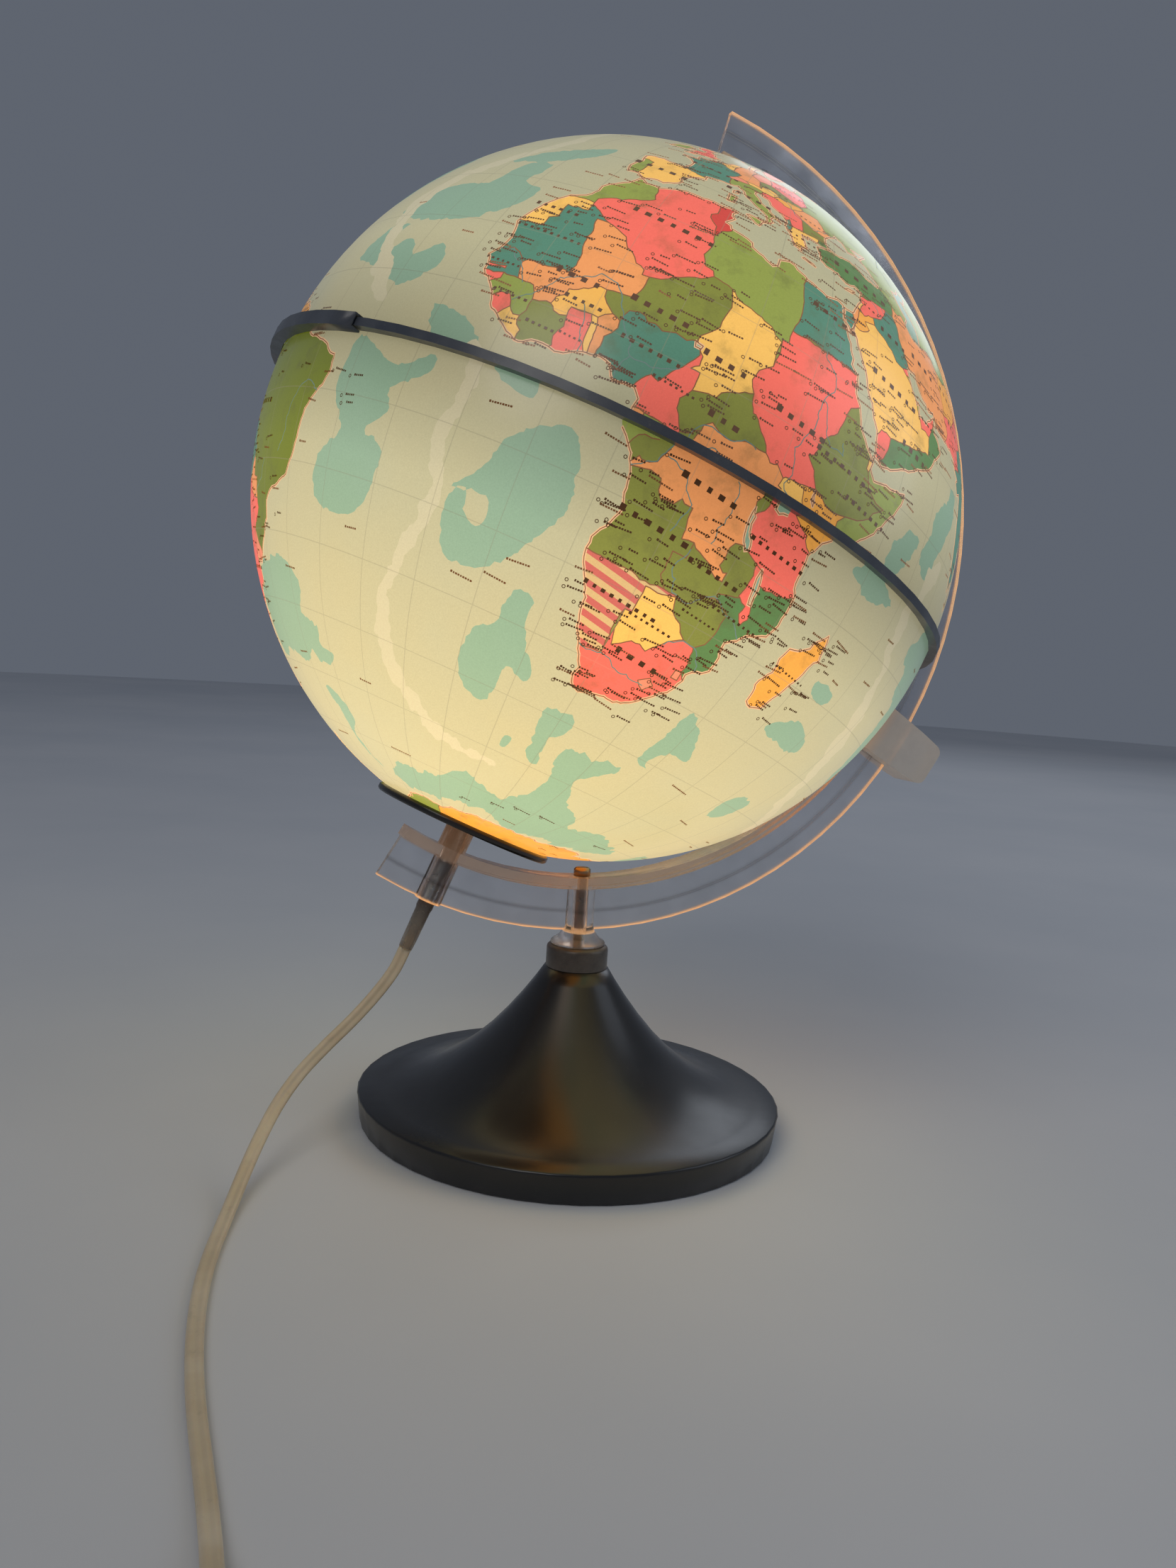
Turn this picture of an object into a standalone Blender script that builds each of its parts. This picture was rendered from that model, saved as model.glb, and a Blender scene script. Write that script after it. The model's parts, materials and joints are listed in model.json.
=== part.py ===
"""Desktop globe on stand: a lit plastic globe that turns on a clear meridian arm over a flared foot.

Metres, +Z up. The origin is under the middle of the foot, on the surface that it stands on. The arm lies in the
XZ plane, with the north pole leaning towards +X. Run with: blender --background --python part.py
"""

import math

import bmesh
import bpy
from mathutils import Matrix, Vector

MM = 0.001

# Driving dimensions
GLOBE_RADIUS = 150 * MM
GLOBE_WALL = 1.5 * MM
CENTRE_HEIGHT = 272.5 * MM
TILT = math.radians(22.5)
GAP = 0.3 * MM

ARM_INNER = 159.5 * MM
ARM_OUTER = 184 * MM
ARM_STEP = 175.5 * MM
FLANGE_THICKNESS = 5 * MM
FLANGE_WIDTH = 13 * MM
WEB_THICKNESS = 4 * MM
WEB_EDGE_THICKNESS = 3 * MM
ARM_OVERHANG = math.radians(8)
ARM_SEGMENTS = 44
POST_RADIUS = 6.5 * MM
POST_FOOT_RADIUS = 12.4 * MM
BOLT_RADIUS = 2.2 * MM
BOLT_HOLE = 2.6 * MM

FOOT_RADIUS = 96 * MM
FOOT_RIM = 13.5 * MM
FOOT_WALL = 2.5 * MM
NECK_RADIUS = 12.4 * MM
NECK_TOP = 76 * MM
SHOULDER_RADIUS = 14.6 * MM
SHOULDER_HEIGHT = 71.3 * MM
FLARE_POWER = 2.2
COLLAR_RADIUS = 14 * MM
COLLAR_TOP = 82 * MM
SCREW_CIRCLE = 72 * MM
SCREW_COUNT = 3

FLANGE_OUT = 3 * MM
SEAM_HALF = 0.15 * MM
SEAM_FLANGE = 0.5 * MM
POLE_HOLE = 5.2 * MM
LAMP_OPENING = 38 * MM
CAP_RADIUS = 40 * MM
CAP_TOP = -145.4 * MM
CAP_BOTTOM = -148.6 * MM
TUBE_RADIUS = 4 * MM
TUBE_BORE = 2.7 * MM
BOSS_BORE = 4.3 * MM

CURSOR_ANGLE = math.radians(-31.2)
CURSOR_INNER = 157 * MM
CURSOR_OUTER = 202 * MM
CURSOR_HALF_DEPTH = 9.5 * MM

CORD_DIAMETER = 5.6 * MM
COIL_CENTRE = Vector((-0.100, -0.352, 0))
COIL_INNER = 25 * MM
COIL_OUTER = 37 * MM
COIL_HEIGHT = 12 * MM
SWITCH_CENTRE = Vector((-0.1705, -0.309, 0))
SWITCH_SIZE = (24 * MM, 60 * MM, 15 * MM)
PLUG_CENTRE = Vector((-0.025, -0.3865, 0))
PLUG_THICKNESS = 13.5 * MM

ROUND = 48
SMALL_ROUND = 24
GLOBE_STEPS = 10

# The free cord's route, in metres: out of the sleeve, down in a sagging line, and along the table
LEAD_ROUTE = [
    (-0.0794, 0.0000, 0.0809), (-0.0838, -0.0005, 0.0715), (-0.0915, -0.0015, 0.0612), (-0.1015, -0.0040, 0.0510),
    (-0.1130, -0.0085, 0.0415), (-0.1240, -0.0150, 0.0325), (-0.1335, -0.0245, 0.0235), (-0.1415, -0.0375, 0.0148),
    (-0.1480, -0.0520, 0.0080), (-0.1535, -0.0680, 0.0042), (-0.1580, -0.0840, 0.0029), (-0.1625, -0.1020, 0.0028),
    (-0.1662, -0.1210, 0.0028), (-0.1690, -0.1420, 0.0028), (-0.1706, -0.1630, 0.0028), (-0.1712, -0.1820, 0.0028),
    (-0.1711, -0.2000, 0.0028), (-0.1706, -0.2180, 0.0028), (-0.1702, -0.2340, 0.0028), (-0.1701, -0.2480, 0.0030),
    (-0.1703, -0.2600, 0.0040), (-0.1705, -0.2690, 0.0061), (-0.1705, -0.2787, 0.0073),
]
MIDDLE_ROUTE = [
    (-0.1705, -0.3393, 0.0073), (-0.1703, -0.3480, 0.0062), (-0.1690, -0.3570, 0.0042), (-0.1650, -0.3665, 0.0030),
    (-0.1580, -0.3740, 0.0029), (-0.1480, -0.3790, 0.0029), (-0.1400, -0.3805, 0.0029), (-0.1293, -0.3800, 0.0029),
]
TAIL_ROUTE = [
    (-0.0800, -0.3868, 0.0086), (-0.0740, -0.3867, 0.0075), (-0.0670, -0.3866, 0.0067), (-0.0590, -0.3865, 0.0067),
]


def clear_scene():
    for obj in list(bpy.data.objects):
        bpy.data.objects.remove(obj, do_unlink=True)


def make_collection(name):
    collection = bpy.data.collections.new(name)
    bpy.context.scene.collection.children.link(collection)
    return collection


clear_scene()
PARTS = make_collection("desktop_globe")
TOOLS = make_collection("cutters_and_guides")


def make_material(name, color, roughness, metallic=0.0, alpha=1.0, transmission=0.0):
    material = bpy.data.materials.new(name)
    material.use_nodes = True
    shader = material.node_tree.nodes["Principled BSDF"]
    shader.inputs["Base Color"].default_value = (*color, 1.0)
    shader.inputs["Roughness"].default_value = roughness
    shader.inputs["Metallic"].default_value = metallic
    shader.inputs["Alpha"].default_value = alpha
    shader.inputs["Transmission Weight"].default_value = transmission
    material.diffuse_color = (*color, alpha)
    return material


BLACK_PLASTIC = make_material("black_plastic", (0.012, 0.012, 0.013), 0.28)
COLLAR_PLASTIC = make_material("collar_plastic", (0.035, 0.036, 0.04), 0.38)
CLEAR_ACRYLIC = make_material("clear_acrylic", (0.86, 0.84, 0.80), 0.08, alpha=0.45, transmission=0.9)
FROSTED_ACRYLIC = make_material("frosted_acrylic", (0.36, 0.36, 0.36), 0.45, alpha=0.8, transmission=0.4)
PRINTED_GLOBE = make_material("printed_globe", (0.74, 0.77, 0.60), 0.35)
RING_STRIP = make_material("ring_strip", (0.05, 0.05, 0.055), 0.45)
STEEL = make_material("steel", (0.55, 0.54, 0.52), 0.30, metallic=1.0)
BRASS = make_material("brass", (0.75, 0.58, 0.30), 0.30, metallic=1.0)
CAST_STEEL = make_material("cast_steel", (0.20, 0.20, 0.21), 0.60, metallic=1.0)
FIBREBOARD = make_material("fibreboard", (0.20, 0.13, 0.08), 0.85)
FELT = make_material("felt", (0.05, 0.12, 0.07), 0.95)
BAKELITE = make_material("bakelite", (0.03, 0.022, 0.018), 0.35)
CERAMIC = make_material("ceramic", (0.80, 0.78, 0.72), 0.40)
OPAL_GLASS = make_material("opal_glass", (0.95, 0.90, 0.78), 0.15)
SLEEVE = make_material("sleeve", (0.06, 0.055, 0.05), 0.50)
IVORY_PVC = make_material("ivory_pvc", (0.66, 0.54, 0.36), 0.45)


def finish(obj, material, collection=PARTS):
    """Gives an object its material and puts it in its collection only."""
    for old in list(obj.users_collection):
        old.objects.unlink(obj)
    collection.objects.link(obj)
    if material:
        obj.data.materials.clear()
        obj.data.materials.append(material)
    if obj.type == "MESH":
        obj.data.shade_smooth()
        obj.data.set_sharp_from_angle(angle=math.radians(35))
    return obj


def make_guide(obj):
    """Marks a cutter or a guide curve, which isn't a part."""
    finish(obj, None, TOOLS)
    obj.hide_render = True
    obj.display_type = "WIRE"
    return obj


def place(obj, matrix):
    obj.matrix_world = matrix
    return obj


def globe_matrix():
    """The globe's own frame: its centre, with +Z along the axis to the north pole."""
    return Matrix.Translation((0, 0, CENTRE_HEIGHT)) @ Matrix.Rotation(TILT, 4, "Y")


def arm_matrix():
    """The arm's own frame: its circle lies in local XY, which is the world's XZ."""
    return Matrix.Translation((0, 0, CENTRE_HEIGHT)) @ Matrix.Rotation(math.pi / 2, 4, "X")


GLOBE = globe_matrix()
ARM = arm_matrix()
WORLD = Matrix.Identity(4)


def turned(name, profile, material, matrix=WORLD, steps=ROUND, closed=True, parent=None, guide=False):
    """A profile of (radius, height) points turned about Z. It runs down its outer side."""
    mesh = bpy.data.meshes.new(name)
    last = len(profile) if closed else len(profile) - 1
    edges = [(i, (i + 1) % len(profile)) for i in range(last)]
    mesh.from_pydata([(r, 0, z) for r, z in profile], edges, [])
    obj = bpy.data.objects.new(name, mesh)
    TOOLS.objects.link(obj)
    screw = obj.modifiers.new("turn", "SCREW")
    screw.steps = screw.render_steps = steps
    screw.use_merge_vertices = True
    screw.merge_threshold = 0.00001
    screw.use_normal_calculate = False
    screw.use_smooth_shade = True
    solid = as_mesh(obj, name)
    if guide:
        make_guide(solid)
    else:
        finish(solid, material)
    return attach(solid, matrix, parent)


def as_mesh(obj, name, weld=0.00001):
    """Replaces an object by the mesh that it evaluates to, with its loose caps welded."""
    bpy.context.view_layer.update()
    evaluated = obj.evaluated_get(bpy.context.evaluated_depsgraph_get())
    mesh = bpy.data.meshes.new_from_object(evaluated)
    matrix = obj.matrix_world.copy()
    bpy.data.objects.remove(obj, do_unlink=True)
    work = bmesh.new()
    work.from_mesh(mesh)
    bmesh.ops.remove_doubles(work, verts=work.verts, dist=weld)
    bmesh.ops.recalc_face_normals(work, faces=work.faces)
    work.to_mesh(mesh)
    work.free()
    solid = bpy.data.objects.new(name, mesh)
    solid.matrix_world = matrix
    PARTS.objects.link(solid)
    return solid


def attach(obj, matrix, parent):
    """Places an object, keeping its place when it hangs on a parent."""
    if parent:
        obj.parent = parent
        bpy.context.view_layer.update()
        obj.matrix_world = matrix
    return place(obj, matrix)


def spline_curve(name, points, cyclic=False, dimensions="3D"):
    data = bpy.data.curves.new(name, "CURVE")
    data.dimensions = dimensions
    spline = data.splines.new("POLY")
    spline.points.add(len(points) - 1)
    for target, point in zip(spline.points, points):
        target.co = (*point, *(0,) * (3 - len(point)), 1)
    spline.use_cyclic_u = cyclic
    obj = bpy.data.objects.new(name, data)
    TOOLS.objects.link(obj)
    return obj


def swept(name, section, start, stop, segments, material, matrix, parent=None, guide=False):
    """A section of (radius, offset along the axis) points swept about local Z from one angle to another."""
    work = bmesh.new()
    verts = [work.verts.new((r * math.cos(start), r * math.sin(start), z)) for r, z in section]
    edges = [work.edges.new((verts[i], verts[(i + 1) % len(verts)])) for i in range(len(verts))]
    first = work.faces.new(verts)
    swept_parts = bmesh.ops.spin(
        work, geom=edges, cent=(0, 0, 0), axis=(0, 0, 1), angle=stop - start, steps=segments, use_duplicate=False
    )
    last = [item for item in swept_parts["geom_last"] if isinstance(item, bmesh.types.BMEdge)]
    bmesh.ops.contextual_create(work, geom=last)
    bmesh.ops.recalc_face_normals(work, faces=work.faces)
    if first.is_valid and work.calc_volume(signed=True) < 0:
        bmesh.ops.reverse_faces(work, faces=work.faces)
    mesh = bpy.data.meshes.new(name)
    work.to_mesh(mesh)
    work.free()
    obj = bpy.data.objects.new(name, mesh)
    if guide:
        make_guide(obj)
    else:
        finish(obj, material)
    return attach(obj, matrix, parent)


def flat_solid(name, outline, half_thickness, material, matrix=WORLD, parent=None, guide=False):
    """A closed outline in local XY, thickened both ways along local Z."""
    curve = spline_curve(name + "_outline", outline, cyclic=True, dimensions="2D")
    curve.data.fill_mode = "BOTH"
    curve.data.extrude = half_thickness
    solid = as_mesh(curve, name)
    if guide:
        make_guide(solid)
    else:
        finish(solid, material)
    return attach(solid, matrix, parent)


def block(name, size, centre, material=None, guide=False):
    bpy.ops.mesh.primitive_cube_add(size=1)
    obj = bpy.context.object
    obj.name = obj.data.name = name
    obj.data.transform(Matrix.Diagonal((*size, 1)))
    obj.location = centre
    return make_guide(obj) if guide else finish(obj, material)


def rod(name, radius, low, high, matrix=WORLD, segments=SMALL_ROUND, material=None, guide=True):
    """A plain cylinder on local Z between two heights."""
    bpy.ops.mesh.primitive_cylinder_add(vertices=segments, radius=radius, depth=high - low)
    obj = bpy.context.object
    obj.name = obj.data.name = name
    obj.data.transform(Matrix.Translation((0, 0, (high + low) / 2)))
    if guide:
        make_guide(obj)
    else:
        finish(obj, material)
    return place(obj, matrix)


def combine(target, other, operation):
    """Adds or takes away another solid with an exact Boolean, which stays on the target."""
    modifier = target.modifiers.new(operation.lower() + "_" + other.name, "BOOLEAN")
    modifier.operation = operation
    modifier.solver = "EXACT"
    modifier.object = other


def round_edges(obj, width, segments=2, limit=40):
    bevel = obj.modifiers.new("edges", "BEVEL")
    bevel.width = width
    bevel.segments = segments
    bevel.limit_method = "ANGLE"
    bevel.angle_limit = math.radians(limit)


def rounded_rectangle(width, height, radius, steps=4):
    points = []
    for quarter, (sx, sy) in enumerate([(1, 1), (-1, 1), (-1, -1), (1, -1)]):
        centre = (sx * (width / 2 - radius), sy * (height / 2 - radius))
        for i in range(steps + 1):
            angle = (quarter + i / steps) * math.pi / 2
            points.append((centre[0] + radius * math.cos(angle), centre[1] + radius * math.sin(angle)))
    return points


def arc(radius, start, stop, steps):
    """Points on a circle about the globe's centre, as (distance from the axis, height)."""
    angles = [start + (stop - start) * i / steps for i in range(steps + 1)]
    return [(radius * math.cos(a), radius * math.sin(a)) for a in angles]


# The foot


def flare_height(radius):
    share = (FOOT_RADIUS - radius) / (FOOT_RADIUS - SHOULDER_RADIUS)
    return FOOT_RIM + (SHOULDER_HEIGHT - FOOT_RIM) * share**FLARE_POWER


def flare_points(count=11):
    """The flare from shoulder to rim, closer together where it bends most."""
    span = FOOT_RADIUS - 0.8 * MM - SHOULDER_RADIUS
    radii = [SHOULDER_RADIUS + span * (i / (count - 1)) ** 1.35 for i in range(count)]
    return [(r, flare_height(r)) for r in radii]


def inside_flare():
    """The flare's inner wall, one wall thickness in along the normal, from rim to neck."""
    points = []
    outer = flare_points()
    for i in range(len(outer) - 1, 0, -1):
        (r0, z0), (r1, z1) = outer[i - 1], outer[i]
        length = math.hypot(r1 - r0, z1 - z0)
        normal = ((z0 - z1) / length, (r1 - r0) / length)
        points.append((r1 - FOOT_WALL * normal[0], z1 - FOOT_WALL * normal[1]))
    return [p for p in points if p[1] < SHOULDER_HEIGHT - 4 * MM]


def make_base_shell():
    rim_inner = FOOT_RADIUS - 1.6 * MM - FOOT_WALL
    profile = [(BOLT_HOLE, NECK_TOP), (NECK_RADIUS, NECK_TOP), (NECK_RADIUS, SHOULDER_HEIGHT)]
    profile += flare_points()
    profile += [(FOOT_RADIUS, FOOT_RIM - 0.7 * MM), (FOOT_RADIUS - 0.3 * MM, FOOT_RIM - 2 * MM)]
    profile += [(FOOT_RADIUS - 1.6 * MM, 0.8 * MM), (FOOT_RADIUS - 2.2 * MM, 0.4 * MM), (rim_inner, 0.4 * MM)]
    profile += [(rim_inner + 0.6 * MM, FOOT_RIM - FOOT_WALL - 0.6 * MM)]
    profile += inside_flare()
    profile += [(NECK_RADIUS - FOOT_WALL, NECK_TOP - 3.5 * MM), (BOLT_HOLE, NECK_TOP - 3.5 * MM)]
    shell = turned("base_shell", profile, BLACK_PLASTIC)
    for i in range(SCREW_COUNT):
        matrix = screw_matrix(i)
        combine(shell, rod(f"boss_{i + 1}", 4 * MM, 8.4 * MM, 15.4 * MM, matrix, 20), "UNION")
        combine(shell, rod(f"pilot_{i + 1}", 1.7 * MM, 8 * MM, 13.4 * MM, matrix, 16), "DIFFERENCE")
    return shell


def screw_matrix(index):
    angle = 2 * math.pi * index / SCREW_COUNT + math.radians(30)
    return Matrix.Translation((SCREW_CIRCLE * math.cos(angle), SCREW_CIRCLE * math.sin(angle), 0))


def make_base_inside():
    weight = turned(
        "base_weight", [(30 * MM, 8.1 * MM), (84 * MM, 8.1 * MM), (84 * MM, 3.6 * MM), (30 * MM, 3.6 * MM)], CAST_STEEL
    )
    plate = turned("base_plate", [(0, 3.3 * MM), (91.2 * MM, 3.3 * MM), (91.2 * MM, 1.3 * MM), (0, 1.3 * MM)],
                   FIBREBOARD, closed=False)
    turned("base_felt", [(0, 1 * MM), (91 * MM, 1 * MM), (91 * MM, 0), (0, 0)], FELT, closed=False)
    head = [(0, 12.6 * MM), (1.2 * MM, 11 * MM), (1.3 * MM, 3.2 * MM), (3.4 * MM, 1.6 * MM), (3.4 * MM, 1.35 * MM),
            (0, 1.35 * MM)]
    sink = [(0, 3.9 * MM), (1.8 * MM, 3.9 * MM), (1.8 * MM, 3.3 * MM), (3.9 * MM, 1.6 * MM), (3.9 * MM, 1 * MM),
            (0, 1 * MM)]
    for i in range(SCREW_COUNT):
        matrix = screw_matrix(i)
        combine(weight, rod(f"weight_hole_{i + 1}", 1.8 * MM, 3 * MM, 9 * MM, matrix, 16), "DIFFERENCE")
        combine(plate, turned(f"countersink_{i + 1}", sink, None, matrix, 16, closed=False, guide=True), "DIFFERENCE")
        turned(f"plate_screw_{i + 1}", head, STEEL, matrix, 16, closed=False)


def make_collar():
    top = COLLAR_TOP
    turned("base_collar", [
        (BOLT_HOLE, top), (11.8 * MM, top), (13 * MM, top - 0.4 * MM), (13.8 * MM, top - 1.2 * MM),
        (COLLAR_RADIUS, top - 2.2 * MM), (COLLAR_RADIUS, SHOULDER_HEIGHT + 0.3 * MM),
        (NECK_RADIUS + 0.4 * MM, SHOULDER_HEIGHT + 0.3 * MM), (NECK_RADIUS + 0.4 * MM, NECK_TOP + GAP),
        (BOLT_HOLE, NECK_TOP + GAP),
    ], COLLAR_PLASTIC, steps=32)


def make_clamp():
    seat = CENTRE_HEIGHT - ARM_INNER + GAP
    under_neck = NECK_TOP - 3.5 * MM - GAP
    bolt = turned("clamp_bolt", [
        (0, seat + 3.7 * MM), (3 * MM, seat + 3.7 * MM), (3.8 * MM, seat + 2.9 * MM), (3.8 * MM, seat),
        (BOLT_RADIUS, seat), (BOLT_RADIUS, 64.4 * MM), (BOLT_RADIUS - 0.5 * MM, 63.8 * MM), (0, 63.8 * MM),
    ], STEEL, steps=24, closed=False)
    slot = block("bolt_slot", (9 * MM, 1 * MM, 2.4 * MM), (0, 0, seat + 3.7 * MM), guide=True)
    combine(bolt, slot, "DIFFERENCE")
    hole = BOLT_RADIUS + GAP
    turned("clamp_washer", [(hole, under_neck), (5.5 * MM, under_neck), (5.5 * MM, under_neck - 1 * MM),
                            (hole, under_neck - 1 * MM)], STEEL, steps=24)
    nut_top = under_neck - 1 * MM - GAP
    make_nut("clamp_nut", 4.6 * MM, hole, nut_top - 3.5 * MM, nut_top, STEEL)


def make_nut(name, corner_radius, bore, low, high, material, matrix=WORLD):
    nut = rod(name, corner_radius, low, high, matrix, 6, material, guide=False)
    combine(nut, rod(name + "_bore", bore, low - 1 * MM, high + 1 * MM, matrix), "DIFFERENCE")


# The arm


def arm_section(clearance=0.0):
    """Flange inwards and web outwards, with the step halfway. The clearance makes the cursor's slot."""
    flange, web, edge = (w / 2 + clearance for w in (FLANGE_WIDTH, WEB_THICKNESS, WEB_EDGE_THICKNESS))
    inner = ARM_INNER - clearance
    under = ARM_INNER + FLANGE_THICKNESS + clearance
    outer = ARM_OUTER + clearance
    step = ARM_STEP + clearance
    return [
        (inner, -flange), (under, -flange), (under, -web), (step, -web), (step, -edge), (outer, -edge),
        (outer, edge), (step, edge), (step, web), (under, web), (under, flange), (inner, flange),
    ]


def make_arm():
    start = -math.pi / 2 - TILT - ARM_OVERHANG
    stop = math.pi / 2 - TILT + ARM_OVERHANG
    arm = swept("meridian_arm", arm_section(), start, stop, ARM_SEGMENTS, CLEAR_ACRYLIC, ARM)
    foot_low = COLLAR_TOP + GAP
    post_top = CENTRE_HEIGHT - ARM_INNER - 3 * MM
    post = turned("post", [
        (0, post_top), (POST_RADIUS, post_top), (POST_RADIUS, 90.5 * MM), (7.4 * MM, 88 * MM), (9.2 * MM, 85.6 * MM),
        (POST_FOOT_RADIUS - 0.4 * MM, 83.6 * MM), (POST_FOOT_RADIUS, 83 * MM), (POST_FOOT_RADIUS, foot_low),
        (0, foot_low),
    ], None, steps=32, closed=False, guide=True)
    south = rod("south_boss", 6 * MM, -ARM_OUTER - 0.4 * MM, -ARM_INNER - 2 * MM, GLOBE, 32)
    stem = rod("south_stem", POST_RADIUS, -ARM_INNER - 1.5 * MM, CAP_BOTTOM - 0.35 * MM, GLOBE, 32)
    north = rod("north_boss", 4.5 * MM, ARM_INNER + 2 * MM, 168 * MM, GLOBE, 24)
    for solid in (post, south, stem, north):
        combine(arm, solid, "UNION")
    bolt_hole = rod("bolt_hole", BOLT_HOLE, foot_low - 2 * MM, 118 * MM, segments=24)
    tube_hole = rod("tube_hole", BOSS_BORE, -ARM_OUTER - 3 * MM, CAP_BOTTOM + 2 * MM, GLOBE, 24)
    pin_hole = rod("pin_hole", 2.2 * MM, ARM_INNER - 2 * MM, 166.8 * MM, GLOBE, 20)
    for hole in (bolt_hole, tube_hole, pin_hole):
        combine(arm, hole, "DIFFERENCE")
    return arm


def make_cursor():
    """A block with a T slot that follows the arm. Its inner side is open in the middle, to pass the pin."""
    axis = bpy.data.objects.new("cursor_axis", None)
    PARTS.objects.link(axis)
    place(axis, ARM @ Matrix.Rotation(CURSOR_ANGLE, 4, "Z"))
    outline = [(CURSOR_INNER, -12 * MM), (188 * MM, -11.2 * MM)]
    outline += [(CURSOR_OUTER - 4 * MM + 4 * MM * math.sin(a), -6.4 * MM - 4 * MM * math.cos(a))
                for a in (math.radians(18 * i) for i in range(6))]
    outline += [(x, -y) for x, y in reversed(outline)]
    cursor = flat_solid("cursor", outline, CURSOR_HALF_DEPTH, FROSTED_ACRYLIC,
                        ARM @ Matrix.Rotation(CURSOR_ANGLE, 4, "Z"), axis)
    reach = math.radians(7)
    slot = swept("cursor_slot", arm_section(GAP), CURSOR_ANGLE - reach, CURSOR_ANGLE + reach, 12, None, ARM, guide=True)
    combine(cursor, slot, "DIFFERENCE")
    mouth = block("cursor_mouth", (8 * MM, 40 * MM, 9.4 * MM), (0, 0, 0), guide=True)
    place(mouth, ARM @ Matrix.Rotation(CURSOR_ANGLE, 4, "Z") @ Matrix.Translation((CURSOR_INNER, 0, 0)))
    combine(cursor, mouth, "DIFFERENCE")
    return cursor


# The globe, which turns about its tilted axis


def make_globe():
    axis = bpy.data.objects.new("globe_axis", None)
    PARTS.objects.link(axis)
    place(axis, GLOBE)
    inner = GLOBE_RADIUS - GLOBE_WALL
    flange = GLOBE_RADIUS + FLANGE_OUT
    low, high = SEAM_HALF, SEAM_HALF + SEAM_FLANGE
    rise = math.asin(high / GLOBE_RADIUS)
    pole = math.acos(POLE_HOLE / GLOBE_RADIUS)
    inner_pole = math.acos(POLE_HOLE / inner)
    north = arc(GLOBE_RADIUS, pole, rise, GLOBE_STEPS) + [(flange, high), (flange, low), (inner, low)]
    north += arc(inner, rise, inner_pole, GLOBE_STEPS)
    turned("globe_north", north, PRINTED_GLOBE, GLOBE, parent=axis)
    mouth = math.acos(LAMP_OPENING / GLOBE_RADIUS)
    inner_mouth = math.acos(LAMP_OPENING / inner)
    south = [(inner, -low), (flange, -low), (flange, -high)] + arc(GLOBE_RADIUS, -rise, -mouth, GLOBE_STEPS - 1)
    south += arc(inner, -inner_mouth, -rise, GLOBE_STEPS - 1)
    turned("globe_south", south, PRINTED_GLOBE, GLOBE, parent=axis)
    make_ring(axis)
    make_pole_cap(axis)
    make_pole_bush(axis)


def channel(inner, outer, half_width, wall):
    """A U section open towards the axis."""
    groove = outer - wall
    return [
        (inner, half_width), (outer, half_width), (outer, -half_width), (inner, -half_width),
        (inner, -half_width + wall), (groove, -half_width + wall), (groove, half_width - wall),
        (inner, half_width - wall),
    ]


def make_ring(axis):
    split, gap = math.radians(187), math.radians(1.5)
    swept("equator_ring", channel(GLOBE_RADIUS + 0.4 * MM, GLOBE_RADIUS + 4 * MM, 1.6 * MM, 0.62 * MM),
          split + gap, split - gap + 2 * math.pi, 60, RING_STRIP, GLOBE, axis)
    swept("ring_joiner", channel(GLOBE_RADIUS + 0.6 * MM, GLOBE_RADIUS + 5.2 * MM, 2.7 * MM, 0.75 * MM),
          math.radians(165), math.radians(210), 9, RING_STRIP, GLOBE, axis)


def make_pole_cap(axis):
    spigot = LAMP_OPENING - 0.4 * MM
    turned("pole_cap", [
        (TUBE_RADIUS + 0.5 * MM, CAP_TOP), (spigot - 1.5 * MM, CAP_TOP), (spigot - 1.5 * MM, CAP_TOP + 6 * MM),
        (spigot, CAP_TOP + 6 * MM), (spigot, CAP_TOP), (CAP_RADIUS - 0.6 * MM, CAP_TOP),
        (CAP_RADIUS, CAP_TOP - 0.6 * MM), (CAP_RADIUS, CAP_BOTTOM + 0.8 * MM), (CAP_RADIUS - 0.8 * MM, CAP_BOTTOM),
        (TUBE_RADIUS + 0.5 * MM, CAP_BOTTOM),
    ], BLACK_PLASTIC, GLOBE, steps=36, parent=axis)


def make_pole_bush(axis):
    bore = 2.4 * MM
    turned("pole_bush", [
        (bore, 151.4 * MM), (7 * MM, 151.4 * MM), (7.5 * MM, 150.9 * MM), (7.5 * MM, 150.2 * MM),
        (4.9 * MM, 150.2 * MM), (4.9 * MM, 148.05 * MM), (5.6 * MM, 147.9 * MM), (5 * MM, 146.6 * MM),
        (bore, 146.6 * MM),
    ], BLACK_PLASTIC, GLOBE, steps=24, parent=axis)


# The pole pin and the lamp, which stay with the arm


def make_pole_pin():
    turned("pole_pin", [
        (0, 166.5 * MM), (1.9 * MM, 166.5 * MM), (1.9 * MM, ARM_INNER - GAP), (4 * MM, ARM_INNER - GAP),
        (4 * MM, 151.8 * MM), (2 * MM, 151.8 * MM), (2 * MM, 146.2 * MM), (1.4 * MM, 145.4 * MM), (0, 145.4 * MM),
    ], STEEL, GLOBE, steps=20, closed=False)


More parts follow.
